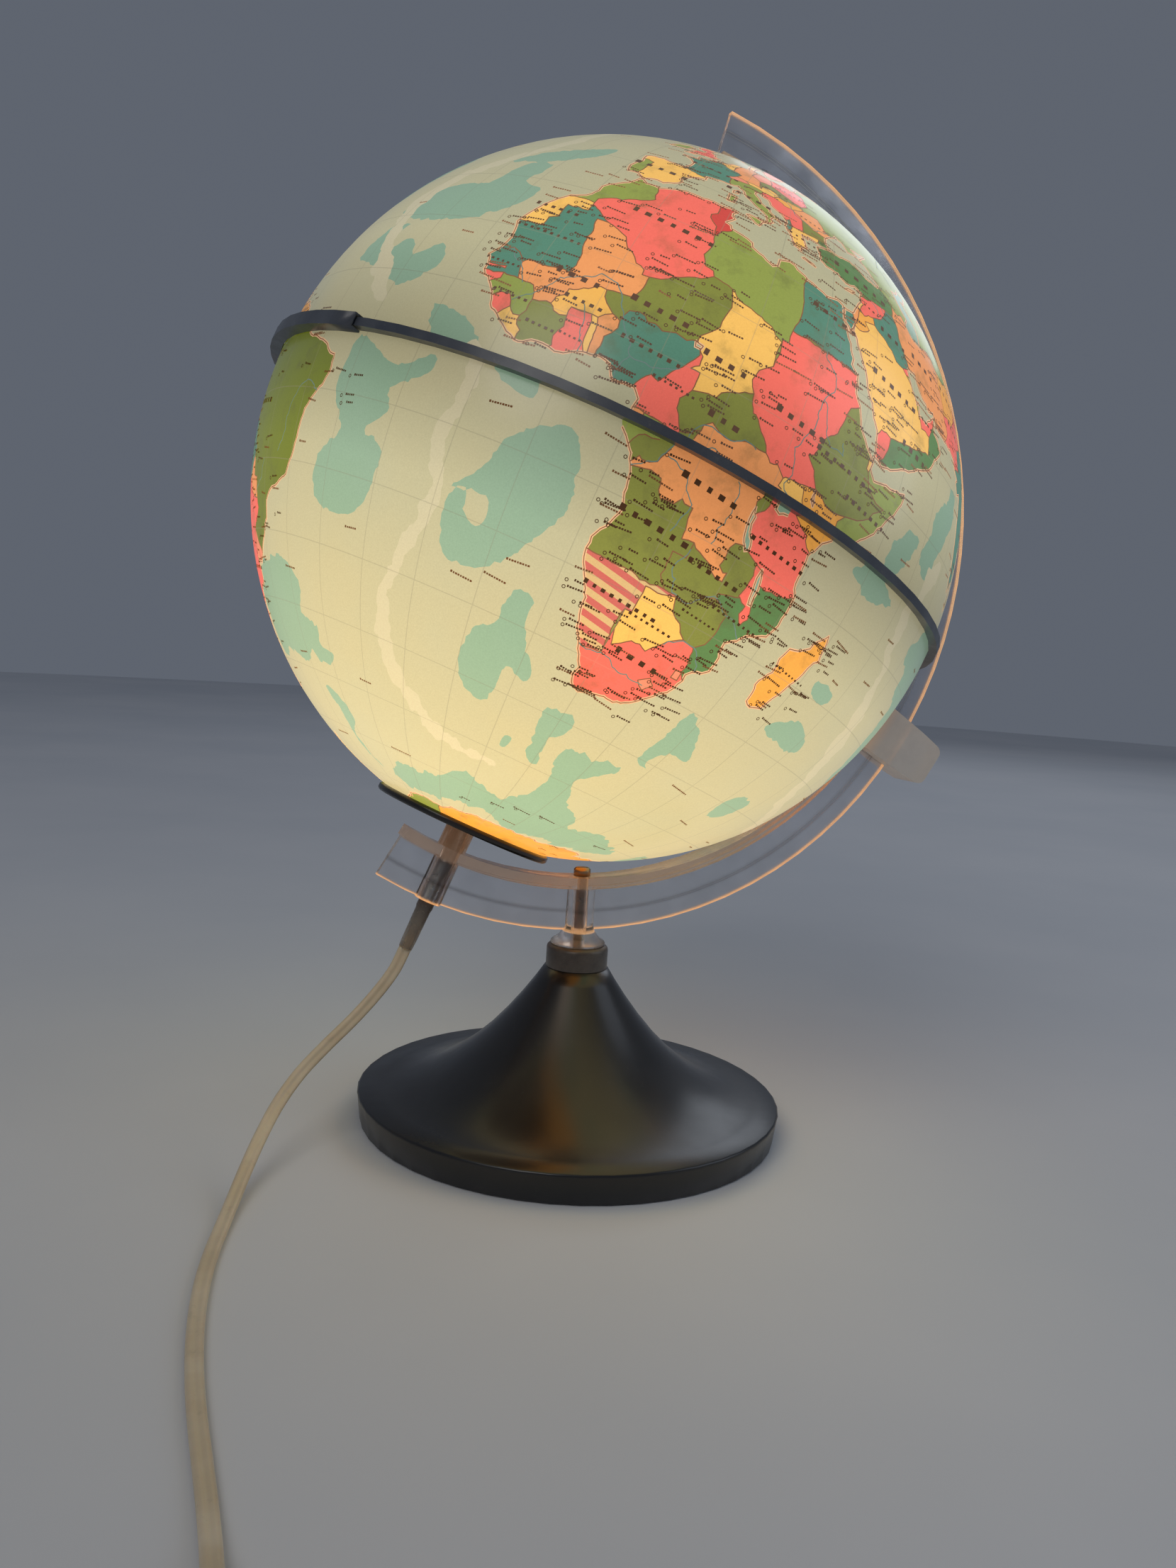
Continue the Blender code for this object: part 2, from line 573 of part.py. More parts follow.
def make_lamp():
    tube_low = -ARM_OUTER - 0.2 * MM
    turned("lamp_tube", [(TUBE_BORE, -133 * MM), (TUBE_RADIUS, -133 * MM), (TUBE_RADIUS, tube_low),
                         (TUBE_BORE, tube_low)], STEEL, GLOBE, steps=24)
    turned("lamp_holder", [
        (12.4 * MM, -96 * MM), (13.4 * MM, -96 * MM), (14 * MM, -97 * MM), (14 * MM, -128 * MM), (12 * MM, -136 * MM),
        (8 * MM, -141 * MM), (BOSS_BORE, -141 * MM), (BOSS_BORE, -137.5 * MM), (10.4 * MM, -137.5 * MM),
        (12.4 * MM, -127 * MM),
    ], BAKELITE, GLOBE, steps=32)
    make_nut("holder_nut", 7 * MM, BOSS_BORE, -137.2 * MM, -134 * MM, BRASS, GLOBE)
    turned("socket_insert", [
        (3 * MM, -123.4 * MM), (12 * MM, -123.4 * MM), (12 * MM, -127 * MM), (10.6 * MM, -132 * MM), (3 * MM, -132 * MM),
    ], CERAMIC, GLOBE, steps=24)
    turned("socket_shell", [(7.3 * MM, -100 * MM), (8 * MM, -100 * MM), (8 * MM, -123 * MM), (7.3 * MM, -123 * MM)],
           BRASS, GLOBE, steps=24)
    turned("bulb_cap", [(0, -99.3 * MM), (6.9 * MM, -99.3 * MM), (6.9 * MM, -119 * MM), (4 * MM, -121 * MM),
                        (2 * MM, -122.6 * MM), (0, -122.6 * MM)], BRASS, GLOBE, steps=24, closed=False)
    bulb_centre, bulb_radius = -64 * MM, 22.5 * MM
    ball = [(r, z + bulb_centre) for r, z in arc(bulb_radius, math.pi / 2, -math.radians(50), 8)]
    ball[0] = (0, ball[0][1])
    turned("bulb_glass", ball + [(9 * MM, -89 * MM), (6.6 * MM, -94 * MM), (6.6 * MM, -99 * MM), (0, -99 * MM)],
           OPAL_GLASS, GLOBE, steps=24, closed=False)


# The cord and what is on it


def smooth_route(points, spacing):
    """Points at an even spacing on a Catmull-Rom curve through the route."""
    ends = [2 * points[0] - points[1]] + points + [2 * points[-1] - points[-2]]
    dense = []
    for a, b, c, d in zip(ends, ends[1:], ends[2:], ends[3:]):
        for i in range(24):
            t = i / 24
            dense.append(0.5 * (2 * b + (c - a) * t + (2 * a - 5 * b + 4 * c - d) * t**2
                                + (3 * b - a - 3 * c + d) * t**3))
    dense.append(points[-1])
    lengths = [0.0]
    for a, b in zip(dense, dense[1:]):
        lengths.append(lengths[-1] + (b - a).length)
    count = max(2, round(lengths[-1] / spacing))
    result, j = [], 0
    for i in range(count + 1):
        wanted = lengths[-1] * i / count
        while j < len(dense) - 2 and lengths[j + 1] < wanted:
            j += 1
        share = (wanted - lengths[j]) / (lengths[j + 1] - lengths[j])
        result.append(dense[j].lerp(dense[j + 1], share))
    return result


def tube(name, route, diameter, material, spacing):
    points = smooth_route([Vector(p) for p in route], spacing)
    curve = spline_curve(name, points)
    curve.data.bevel_depth = diameter / 2
    curve.data.bevel_resolution = 2
    curve.data.use_fill_caps = True
    curve.data.materials.append(material)
    TOOLS.objects.unlink(curve)
    PARTS.objects.link(curve)
    return curve


def make_cord():
    sleeve_top = -ARM_OUTER - 0.5 * MM
    sleeve_end = -206.8 * MM
    turned("cord_sleeve", [
        (2.1 * MM, sleeve_top), (3.7 * MM, sleeve_top), (3.7 * MM, sleeve_top - 3 * MM),
        (3.4 * MM, sleeve_top - 4 * MM), (3.2 * MM, sleeve_end + 4 * MM), (3 * MM, sleeve_end), (2.1 * MM, sleeve_end),
    ], SLEEVE, GLOBE, steps=20)
    down = [GLOBE @ Vector((0, 0, a * MM)) for a in (-132.6, -150, -170, -190, -206.8)]
    tube("cord_in_tube", down, 3.6 * MM, IVORY_PVC, 9 * MM)
    tube("cord_lead", LEAD_ROUTE, CORD_DIAMETER, IVORY_PVC, 9 * MM)
    tube("cord_middle", MIDDLE_ROUTE, CORD_DIAMETER, IVORY_PVC, 8 * MM)
    tube("cord_tail", TAIL_ROUTE, CORD_DIAMETER, IVORY_PVC, 8 * MM)
    turned("cord_coil", [
        (COIL_INNER + 1 * MM, COIL_HEIGHT), (COIL_OUTER - 1 * MM, COIL_HEIGHT), (COIL_OUTER, COIL_HEIGHT - 1 * MM),
        (COIL_OUTER, 1 * MM), (COIL_OUTER - 1 * MM, 0.1 * MM), (COIL_INNER + 1 * MM, 0.1 * MM),
        (COIL_INNER, 1 * MM), (COIL_INNER, COIL_HEIGHT - 1 * MM),
    ], IVORY_PVC, Matrix.Translation(COIL_CENTRE), steps=40)


def make_switch():
    """An inline switch with a rocker that tips about an axis across the cord."""
    width, length, height = SWITCH_SIZE
    split = 7.3 * MM
    wall = 1.6 * MM
    at = Matrix.Translation(SWITCH_CENTRE)
    outline = rounded_rectangle(width, length, 6 * MM)
    pocket = rounded_rectangle(width - 2 * wall, length - 2 * wall, 4.5 * MM)
    low_half, high_half = (split - GAP / 2) / 2, (height - split - GAP / 2) / 2
    base = flat_solid("switch_base", outline, low_half, IVORY_PVC, at @ Matrix.Translation((0, 0, low_half)))
    hollow = flat_solid("switch_base_pocket", pocket, low_half, None,
                        at @ Matrix.Translation((0, 0, low_half + wall)), guide=True)
    combine(base, hollow, "DIFFERENCE")
    top_middle = height - high_half
    cover = flat_solid("switch_cover", outline, high_half, IVORY_PVC, at @ Matrix.Translation((0, 0, top_middle)))
    round_edges(cover, 1.2 * MM)
    hollow = flat_solid("switch_cover_pocket", pocket, high_half, None,
                        at @ Matrix.Translation((0, 0, top_middle - wall)), guide=True)
    combine(cover, hollow, "DIFFERENCE")
    window = block("switch_window", (11 * MM, 20 * MM, 10 * MM), SWITCH_CENTRE + Vector((0, 0, height)), guide=True)
    combine(cover, window, "DIFFERENCE")
    pivot = bpy.data.objects.new("rocker_axis", None)
    PARTS.objects.link(pivot)
    place(pivot, Matrix.Translation(SWITCH_CENTRE + Vector((0, 0, height - 3 * MM))) @ Matrix.Rotation(
        math.radians(-8), 4, "X"))
    profile = [(-9.3 * MM, -1 * MM), (-9.3 * MM, 2.6 * MM), (-5 * MM, 3 * MM), (0, 2.2 * MM), (5 * MM, 3 * MM),
               (9.3 * MM, 2.6 * MM), (9.3 * MM, -1 * MM), (3 * MM, -2.6 * MM), (-3 * MM, -2.6 * MM)]
    turn = Matrix.Rotation(math.pi / 2, 4, "Z") @ Matrix.Rotation(math.pi / 2, 4, "X")
    rocker = flat_solid("switch_rocker", profile, 5.1 * MM, BLACK_PLASTIC, pivot.matrix_world @ turn, pivot)
    round_edges(rocker, 0.4 * MM, 1)


def make_plug():
    """A flat two-pin plug that lies on its broad side, with its pins towards +X."""
    half = PLUG_THICKNESS / 2
    at = Matrix.Translation(PLUG_CENTRE + Vector((0, 0, half)))
    outline = [(-0.0335, 0.0048), (-0.0335, -0.0048), (-0.020, -0.0058), (-0.012, -0.0125), (0.010, -0.0128),
               (0.0125, -0.0105), (0.0125, 0.0105), (0.010, 0.0128), (-0.012, 0.0125), (-0.020, 0.0058)]
    body = flat_solid("plug_body", outline, half, IVORY_PVC, at)
    round_edges(body, 1.2 * MM)
    for i, side in enumerate((1, -1)):
        matrix = at @ Matrix.Translation((12.5 * MM + GAP, side * 9.3 * MM, 0)) @ Matrix.Rotation(math.pi / 2, 4, "Y")
        turned(f"plug_pin_{i + 1}", [(0, 19 * MM), (1.4 * MM, 18.6 * MM), (2 * MM, 17.2 * MM), (2 * MM, 0), (0, 0)],
               BRASS, matrix, steps=16, closed=False)


make_base_shell()
make_base_inside()
make_collar()
make_clamp()
make_arm()
make_cursor()
make_globe()
make_pole_pin()
make_lamp()
make_cord()
make_switch()
make_plug()
bpy.context.view_layer.update()
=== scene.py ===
"""Looks of the desktop globe on stand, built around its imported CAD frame."""

import json
import math
import random

import bmesh
import bpy
import numpy as np
from mathutils import Matrix, Vector, noise
from mathutils.geometry import delaunay_2d_cdt

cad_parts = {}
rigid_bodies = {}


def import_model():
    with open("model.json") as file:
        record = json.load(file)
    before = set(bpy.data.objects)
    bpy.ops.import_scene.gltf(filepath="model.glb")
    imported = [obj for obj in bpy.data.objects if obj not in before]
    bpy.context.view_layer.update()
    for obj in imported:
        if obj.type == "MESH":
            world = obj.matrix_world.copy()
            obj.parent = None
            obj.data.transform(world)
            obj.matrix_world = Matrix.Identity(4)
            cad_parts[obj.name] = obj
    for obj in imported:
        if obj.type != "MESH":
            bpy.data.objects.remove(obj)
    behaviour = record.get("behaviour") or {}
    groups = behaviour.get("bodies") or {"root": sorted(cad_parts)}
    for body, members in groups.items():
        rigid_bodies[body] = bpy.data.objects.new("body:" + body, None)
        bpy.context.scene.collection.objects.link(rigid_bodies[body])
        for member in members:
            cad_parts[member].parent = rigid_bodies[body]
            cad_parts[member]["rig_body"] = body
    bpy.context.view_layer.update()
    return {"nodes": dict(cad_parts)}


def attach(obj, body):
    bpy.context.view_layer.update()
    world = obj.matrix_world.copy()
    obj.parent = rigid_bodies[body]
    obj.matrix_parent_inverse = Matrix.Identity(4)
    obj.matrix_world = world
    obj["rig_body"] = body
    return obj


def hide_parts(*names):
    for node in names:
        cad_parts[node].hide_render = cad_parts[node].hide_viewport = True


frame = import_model()

MM = 0.001
CENTRE = Vector((0, 0, 272.5 * MM))  # the middle of the globe
TILT = math.radians(22.5)
GLOBE = Matrix.Translation(CENTRE) @ Matrix.Rotation(TILT, 4, "Y")  # from the globe's own axes to the frame
LAMP = CENTRE - GLOBE.to_3x3() @ Vector((0, 0, 64 * MM))  # where its light comes from, in the glass
LAMP_REACH = 163 * MM  # where the brightest part of the glow ends
ARM_FLANGE = 165.5 * MM  # out to this radius the arm is lit as its flange is
ARM_STEP = 175.5 * MM  # radius of the step in the arm's web
ARM_RIM = 184 * MM  # radius of the arm's outer edge
SKIN = 150.25 * MM  # radius of the printed map, a quarter of a millimetre above the plastic
NORTH_TO_ARM = 118.467  # the meridian that faces the arm's side, in degrees east
SMOOTH_UP_TO = 38  # degrees between two faces; a sharper edge stays an edge
SMOOTH_ACRYLIC_UP_TO = 12
SLOT_OF = {node: obj.material_slots[0].material.name for node, obj in frame["nodes"].items()}
OUTSIDE = (
    "base_shell", "base_plate", "base_felt", "base_collar", "meridian_arm", "cursor", "equator_ring",
    "ring_joiner", "pole_cap", "pole_bush", "pole_pin", "cord_sleeve", "clamp_bolt", "clamp_nut",
    "clamp_washer", "lamp_tube", "switch_base", "switch_cover", "switch_rocker", "plug_body", "plug_pin_1",
    "plug_pin_2",
)


# Curves


def circle(radius, count, turn=0.0):
    """Points evenly round a circle. The first is turned by a share of the space between two."""
    angles = [2 * math.pi * (i + turn) / count for i in range(count)]
    return [(radius * math.cos(a), radius * math.sin(a)) for a in angles]


def bend(a, b, c, d, t):
    """A point between b and c on the Catmull-Rom curve through all four."""
    return 0.5 * (2 * b + (c - a) * t + (2 * a - 5 * b + 4 * c - d) * t**2 + (3 * b - a - 3 * c + d) * t**3)


def smooth(points, spacing):
    """Points at an even spacing on a Catmull-Rom curve."""
    points = [Vector(p) for p in points]
    ends = [2 * points[0] - points[1]] + points + [2 * points[-1] - points[-2]]
    dense = []
    for a, b, c, d in zip(ends, ends[1:], ends[2:], ends[3:]):
        dense += [bend(a, b, c, d, i / 16) for i in range(16)]
    dense = np.array(dense + [points[-1]])
    along = np.concatenate([[0], np.cumsum(np.linalg.norm(np.diff(dense, axis=0), axis=1))])
    at = np.linspace(0, along[-1], round(along[-1] / spacing) + 1)
    return [Vector([np.interp(t, along, dense[:, k]) for k in range(3)]) for t in at]


# Camera, floor and light


def make_camera():
    """The photograph's camera, solved from the globe's outline, the strip, the foot and the arm's ends."""
    data = bpy.data.cameras.new("camera")
    data.sensor_width = 36
    data.lens = 29.38
    data.clip_start, data.clip_end = 0.01, 20
    camera = bpy.data.objects.new("camera", data)
    bpy.context.scene.collection.objects.link(camera)
    yaw, pitch, roll = (math.radians(a) for a in (19.486, 6.399, 3.661))
    ahead = Vector((math.sin(yaw) * math.cos(pitch), math.cos(yaw) * math.cos(pitch), -math.sin(pitch)))
    level = Vector((math.cos(yaw), -math.sin(yaw), 0))
    below = ahead.cross(level)
    right = level * math.cos(roll) - below * math.sin(roll)
    down = level * math.sin(roll) + below * math.cos(roll)
    turn = Matrix((right, -down, -ahead)).transposed().to_4x4()
    camera.matrix_world = Matrix.Translation((-0.1903, -0.5381, 0.219)) @ turn
    bpy.context.scene.camera = camera


def make_studio():
    reach, sides = 4, 64
    mesh = bpy.data.meshes.new("floor")
    mesh.from_pydata([(x, y, 0) for x, y in circle(reach, sides)], [], [range(sides)])
    floor = bpy.data.objects.new("floor", mesh)
    bpy.context.scene.collection.objects.link(floor)
    ink = Ink("floor_paper", roughness=0.75)
    ink.color(ink.mottle(2.5, (0.68, 0.69, 0.71), (0.74, 0.74, 0.75)))
    ink.put(floor)
    world = bpy.data.worlds.new("studio")
    world.use_nodes = True
    sky = world.node_tree.nodes["Background"].inputs
    sky["Color"].default_value = (0.30, 0.34, 0.42, 1)
    sky["Strength"].default_value = 0.38
    bpy.context.scene.world = world
    for name, place, size, power, color in [
        ("key", (-1.1, -1.2, 1.5), 1.2, 7.5, (1.0, 0.97, 0.93)),
        ("fill", (1.5, -0.7, 0.9), 1.4, 4, (0.80, 0.88, 1.0)),
        ("back", (1.6, 1.7, 1.6), 1.2, 5, (0.85, 0.91, 1.0)),
    ]:
        data = bpy.data.lights.new(name, "AREA")
        data.shape, data.size, data.energy, data.color = "DISK", size, power, color
        light = bpy.data.objects.new(name, data)
        bpy.context.scene.collection.objects.link(light)
        light.location = place
        light.rotation_mode = "QUATERNION"
        light.rotation_quaternion = (Vector(place) - Vector((0, 0, 0.2))).to_track_quat("Z", "Y")
    bpy.context.scene.view_settings.view_transform = "Standard"


# Node materials


def linear(*srgb):
    return tuple(((c / 255 + 0.055) / 1.055) ** 2.4 if c > 10.3 else c / 255 / 12.92 for c in srgb)


class Ink:
    """A Principled material and short words for its nodes. Patterns read a place on the object, in metres."""

    def __init__(self, name, **values):
        self.material = bpy.data.materials.new(name)
        self.material.use_nodes = True
        self.tree = self.material.node_tree
        self.shader = self.tree.nodes["Principled BSDF"]
        self.place = self.tree.nodes.new("ShaderNodeTexCoord").outputs["Object"]
        for key, value in values.items():
            socket = self.shader.inputs[key.replace("_", " ").title().replace("Ior", "IOR")]
            socket.default_value = (*value, 1) if isinstance(value, tuple) and len(value) == 3 else value

    def node(self, kind, **inputs):
        made = self.tree.nodes.new("ShaderNode" + kind)
        for key, value in inputs.items():
            if hasattr(made, key):
                setattr(made, key, value)
                continue
            index = int(key[1:]) if key[0] == "i" and key[1:].isdigit() else key.replace("_", " ").title()
            self.set(made.inputs[index], value)
        return made

    def set(self, socket, value):
        if isinstance(value, bpy.types.NodeSocket):
            self.tree.links.new(value, socket)
        elif isinstance(value, tuple) and len(value) == 3 and socket.type == "RGBA":
            socket.default_value = (*value, 1)
        else:
            socket.default_value = value

    def math(self, operation, a, b=0.0, c=0.0):
        return self.node("Math", operation=operation, i0=a, i1=b, i2=c).outputs[0]

    def times(self, value, *factors):
        for factor in factors:
            value = self.math("MULTIPLY", value, factor)
        return value

    def vector(self, operation, *inputs, output="Vector"):
        numbered = {f"i{k}": value for k, value in enumerate(inputs)}
        return self.node("VectorMath", operation=operation, **numbered).outputs[output]

    def noise(self, scale, detail=3.0, rough=0.55):
        made = self.node("TexNoise", Vector=self.place, Scale=scale, Detail=detail, Roughness=rough)
        return made.outputs["Fac"]

    def ramp(self, value, low, high, out_low=0.0, out_high=1.0):
        ends = {"From_Min": low, "From_Max": high, "To_Min": out_low, "To_Max": out_high}
        return self.node("MapRange", Value=value, **ends).outputs["Result"]

    def band(self, value, rise, fall):
        """One between the two ramps given as (start, end), and nothing outside them."""
        return self.times(self.ramp(value, *rise), self.ramp(value, fall[1], fall[0]))

    def from_point(self, point):
        return self.vector("DISTANCE", self.place, tuple(point), output="Value")

    def mix(self, share, a, b):
        made = self.tree.nodes.new("ShaderNodeMix")
        made.data_type = "RGBA"
        self.set(made.inputs[0], share)
        self.set(made.inputs[6], a)
        self.set(made.inputs[7], b)
        return made.outputs[2]

    def mottle(self, scale, a, b):
        return self.mix(self.ramp(self.noise(scale, 4.0), 0.35, 0.65), a, b)

    def color(self, value):
        self.set(self.shader.inputs["Base Color"], value)

    def rough(self, scale, low, high):
        self.set(self.shader.inputs["Roughness"], self.ramp(self.noise(scale, 4.0), 0.3, 0.7, low, high))

    def clear(self, value):
        self.set(self.shader.inputs["Transmission Weight"], value)

    def shine(self, color, strength):
        self.set(self.shader.inputs["Emission Color"], color)
        self.set(self.shader.inputs["Emission Strength"], strength)

    def bump(self, height, distance, strength=0.5):
        made = self.node("Bump", Height=height, Distance=distance, Strength=strength)
        self.set(self.shader.inputs["Normal"], made.outputs[0])

    def attribute(self, name, output="Color"):
        made = self.tree.nodes.new("ShaderNodeAttribute")
        made.attribute_name = name
        return made.outputs[output]

    def put(self, *objects):
        for obj in objects:
            obj.data.materials.clear()
            obj.data.materials.append(self.material)


def link(obj, body, slot):
    """Shows an object, riding on a body. Its slot, the record's name for its material, is not used."""
    bpy.context.scene.collection.objects.link(obj)
    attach(obj, body)
    return obj


# Smooth-shaded copies of the CAD solids, and the finish of every solid


def refined(node):
    """A CAD solid with its surface shaded smooth up to its real edges. Its flat sides stay flat."""
    source = frame["nodes"][node]
    angle = SMOOTH_ACRYLIC_UP_TO if node in ("meridian_arm", "cursor") else SMOOTH_UP_TO
    mesh = source.data.copy()
    work = bmesh.new()
    work.from_mesh(mesh)
    bmesh.ops.remove_doubles(work, verts=work.verts, dist=1e-6)
    work.to_mesh(mesh)
    work.free()
    mesh.name = node + "_smooth"
    mesh.shade_smooth()
    mesh.set_sharp_from_angle(angle=math.radians(angle))
    for face in mesh.polygons:
        face.use_smooth = abs(face.normal.y) < 0.999
    obj = link(bpy.data.objects.new(mesh.name, mesh), source["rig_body"], SLOT_OF[node])
    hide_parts(node)
    return obj


def black_plastic():
    ink = Ink("black_plastic_satin", coat_weight=0.25, coat_roughness=0.2)
    dust = ink.ramp(ink.noise(310, 5, 0.7), 0.60, 0.75)
    shade = ink.mottle(22, (0.0060, 0.0056, 0.0060), (0.0110, 0.0100, 0.0100))
    ink.color(ink.mix(ink.times(dust, 0.10), shade, (0.10, 0.095, 0.09)))
    ink.rough(38, 0.27, 0.38)
    ink.bump(ink.noise(1400, 2), 0.00004, 0.35)
    return ink


def collar_plastic():
    ink = Ink("collar_dark", coat_weight=0.15, coat_roughness=0.25)
    ink.color(ink.mottle(160, (0.060, 0.050, 0.042), (0.095, 0.080, 0.066)))
    ink.rough(120, 0.30, 0.44)
    height = ink.node("SeparateXYZ", Vector=ink.place).outputs[2]
    ink.bump(ink.math("SINE", ink.times(height, 7000)), 0.00003, 0.3)
    return ink


def clear_acrylic():
    """Clear where it is flat, with the lamp's orange light in the flange, the rim and the cut ends."""
    ink = Ink("acrylic_clear", ior=1.36)
    offset = ink.vector("MULTIPLY", ink.vector("SUBTRACT", ink.place, tuple(CENTRE)), (1, 0, 1))
    radius = ink.vector("LENGTH", offset, output="Value")
    around = ink.vector("CROSS_PRODUCT", ink.vector("NORMALIZE", offset), (0, 1, 0))
    facing = ink.tree.nodes.new("ShaderNodeNewGeometry").outputs["True Normal"]
    turned = ink.math("ABSOLUTE", ink.vector("DOT_PRODUCT", facing, around, output="Value"))
    end = ink.ramp(turned, 0.80, 0.95)
    flange = ink.ramp(radius, ARM_FLANGE - 1.5 * MM, ARM_FLANGE, 1.0, 0.0)
    rim = ink.band(radius, (ARM_RIM - 1.2 * MM, ARM_RIM - 0.3 * MM), (ARM_RIM + 0.6 * MM, ARM_RIM + 1 * MM))
    # painted shade: a band at the step in the web, for the dark line that the clear acrylic's edge shows there
    step = ink.band(radius, (ARM_STEP - 1.7 * MM, ARM_STEP - 0.3 * MM),
                    (ARM_STEP + 0.1 * MM, ARM_STEP + 1.3 * MM))
    post = ink.ramp(radius, ARM_RIM + 1.5 * MM, ARM_RIM + 6 * MM)
    lit = ink.math("MAXIMUM", ink.times(flange, 0.8), ink.math("MAXIMUM", rim, ink.times(end, 0.4)))
    smoke = ink.ramp(ink.noise(60, 4), 0.3, 0.7, 0.86, 1.0)
    shade = ink.mix(lit, (0.93, 0.94, 0.97), (0.86, 0.66, 0.48))
    # painted shade: the dark grey line along the step, mixed in at half strength
    shade = ink.mix(ink.times(step, 0.5), shade, (0.45, 0.42, 0.42))
    shade = ink.mix(ink.times(post, 0.5), shade, (0.62, 0.52, 0.40))
    ink.color(ink.node("VectorMath", operation="SCALE", i0=shade, Scale=smoke).outputs[0])
    ink.clear(ink.ramp(lit, 0.0, 1.0, 0.94, 0.70))
    strength = ink.times(lit, ink.ramp(rim, 0, 1, 0.07, 0.34))
    ink.shine(ink.mix(rim, (0.50, 0.27, 0.14), (1.0, 0.50, 0.20)), strength)
    ink.rough(90, 0.12, 0.24)
    ink.bump(ink.noise(240, 3), 0.00005, 0.25)
    return ink


def frosted_acrylic():
    """The cursor, with the lamp's light in the end that is next to the globe."""
    ink = Ink("acrylic_frosted", ior=1.47)
    near = ink.ramp(ink.from_point(CENTRE), 158 * MM, 172 * MM, 1.0, 0.0)
    shade = ink.mottle(70, (0.58, 0.56, 0.55), (0.70, 0.67, 0.64))
    ink.color(ink.mix(near, shade, (0.62, 0.38, 0.20)))
    ink.clear(ink.ramp(near, 0, 1, 0.42, 0.30))
    ink.shine(ink.mix(near, (0.34, 0.29, 0.24), (0.66, 0.32, 0.13)), ink.ramp(near, 0, 1, 0.14, 0.26))
    ink.rough(150, 0.38, 0.5)
    ink.bump(ink.noise(900, 2), 0.00003, 0.3)
    return ink


def shell_plastic():
    ink = Ink("globe_styrene", coat_weight=0.3, coat_roughness=0.2)
    ink.color(ink.mottle(30, (0.58, 0.58, 0.46), (0.66, 0.64, 0.52)))
    # painted glow: emission that stands for the lamp's light through the styrene shell
    ink.shine(ink.mottle(25, (0.48, 0.47, 0.33), (0.56, 0.53, 0.36)), 0.5)
    ink.rough(50, 0.32, 0.42)
    return ink


def ring_strip():
    ink = Ink("ring_grey", coat_weight=0.3, coat_roughness=0.22)
    shade = ink.mottle(55, (0.050, 0.058, 0.075), (0.085, 0.092, 0.105))
    ink.color(ink.mix(ink.ramp(ink.noise(420, 5, 0.7), 0.6, 0.72, 0.0, 0.3), shade, (0.20, 0.18, 0.15)))
    ink.rough(90, 0.30, 0.46)
    ink.bump(ink.noise(500, 3), 0.00006, 0.3)
    return ink


def metal(name, dark, light, low, high, bump=0.00004, scale=300):
    ink = Ink(name, metallic=1.0)
    worn = ink.ramp(ink.noise(scale * 0.4, 5, 0.65), 0.62, 0.74, 0.0, 0.4)
    ink.color(ink.mix(worn, ink.mottle(scale * 0.3, dark, light), tuple(0.5 * c for c in dark)))
    ink.rough(scale, low, high)
    ink.bump(ink.noise(scale * 4, 3), bump, 0.4)
    return ink


def solid(name, dark, light, low, high, scale=120, bump=0.00005, **values):
    ink = Ink(name, **values)
    ink.color(ink.mottle(scale, dark, light))
    ink.rough(scale * 0.7, low, high)
    ink.bump(ink.noise(scale * 8, 3), bump, 0.4)
    return ink


def felt():
    ink = Ink("felt_green", roughness=0.95, sheen_weight=0.5)
    fibres = ink.noise(2600, 4, 0.7)
    ink.color(ink.mix(ink.ramp(fibres, 0.35, 0.65), (0.010, 0.022, 0.015), (0.040, 0.070, 0.050)))
    ink.bump(fibres, 0.0003, 0.8)
    return ink


def ivory_pvc():
    ink = Ink("flex_ivory", subsurface_weight=0.08, subsurface_scale=0.002, coat_weight=0.12,
              coat_roughness=0.3)
    shade = ink.mottle(45, (0.66, 0.53, 0.35), (0.76, 0.64, 0.46))
    grime = ink.ramp(ink.noise(130, 5, 0.7), 0.58, 0.74, 0.0, 0.35)
    ink.color(ink.mix(grime, shade, (0.42, 0.34, 0.23)))
    ink.rough(160, 0.34, 0.48)
    ink.bump(ink.noise(700, 3), 0.00005, 0.3)
    return ink


def smoked_pvc():
    """The sleeve is smoky and half clear, so the flex shows in it. It is darkest where it enters the boss, a
    painted shade over its smoked tint.
    """
    ink = Ink("sleeve_smoked", ior=1.4)
    # painted shade over the smoked tint: darker and less clear towards the boss
    dark = ink.ramp(ink.from_point(CENTRE), ARM_RIM + 3 * MM, ARM_RIM + 18 * MM, 1.0, 0.0)
    ink.color(ink.mix(dark, ink.mottle(180, (0.60, 0.52, 0.43), (0.70, 0.61, 0.50)), (0.17, 0.145, 0.125)))
    ink.clear(ink.ramp(dark, 0, 1, 0.82, 0.40))
    ink.rough(126, 0.20, 0.32)
    ink.bump(ink.noise(1440, 3), 0.00005, 0.4)
    return ink


def opal_glass():
    ink = Ink("opal_white", coat_weight=1.0, coat_roughness=0.05)
    ink.color(ink.mottle(60, (0.86, 0.83, 0.76), (0.92, 0.90, 0.85)))
    ink.shine(ink.mottle(80, (1.0, 0.72, 0.42), (1.0, 0.78, 0.50)), 4)
    ink.rough(90, 0.25, 0.35)
    return ink


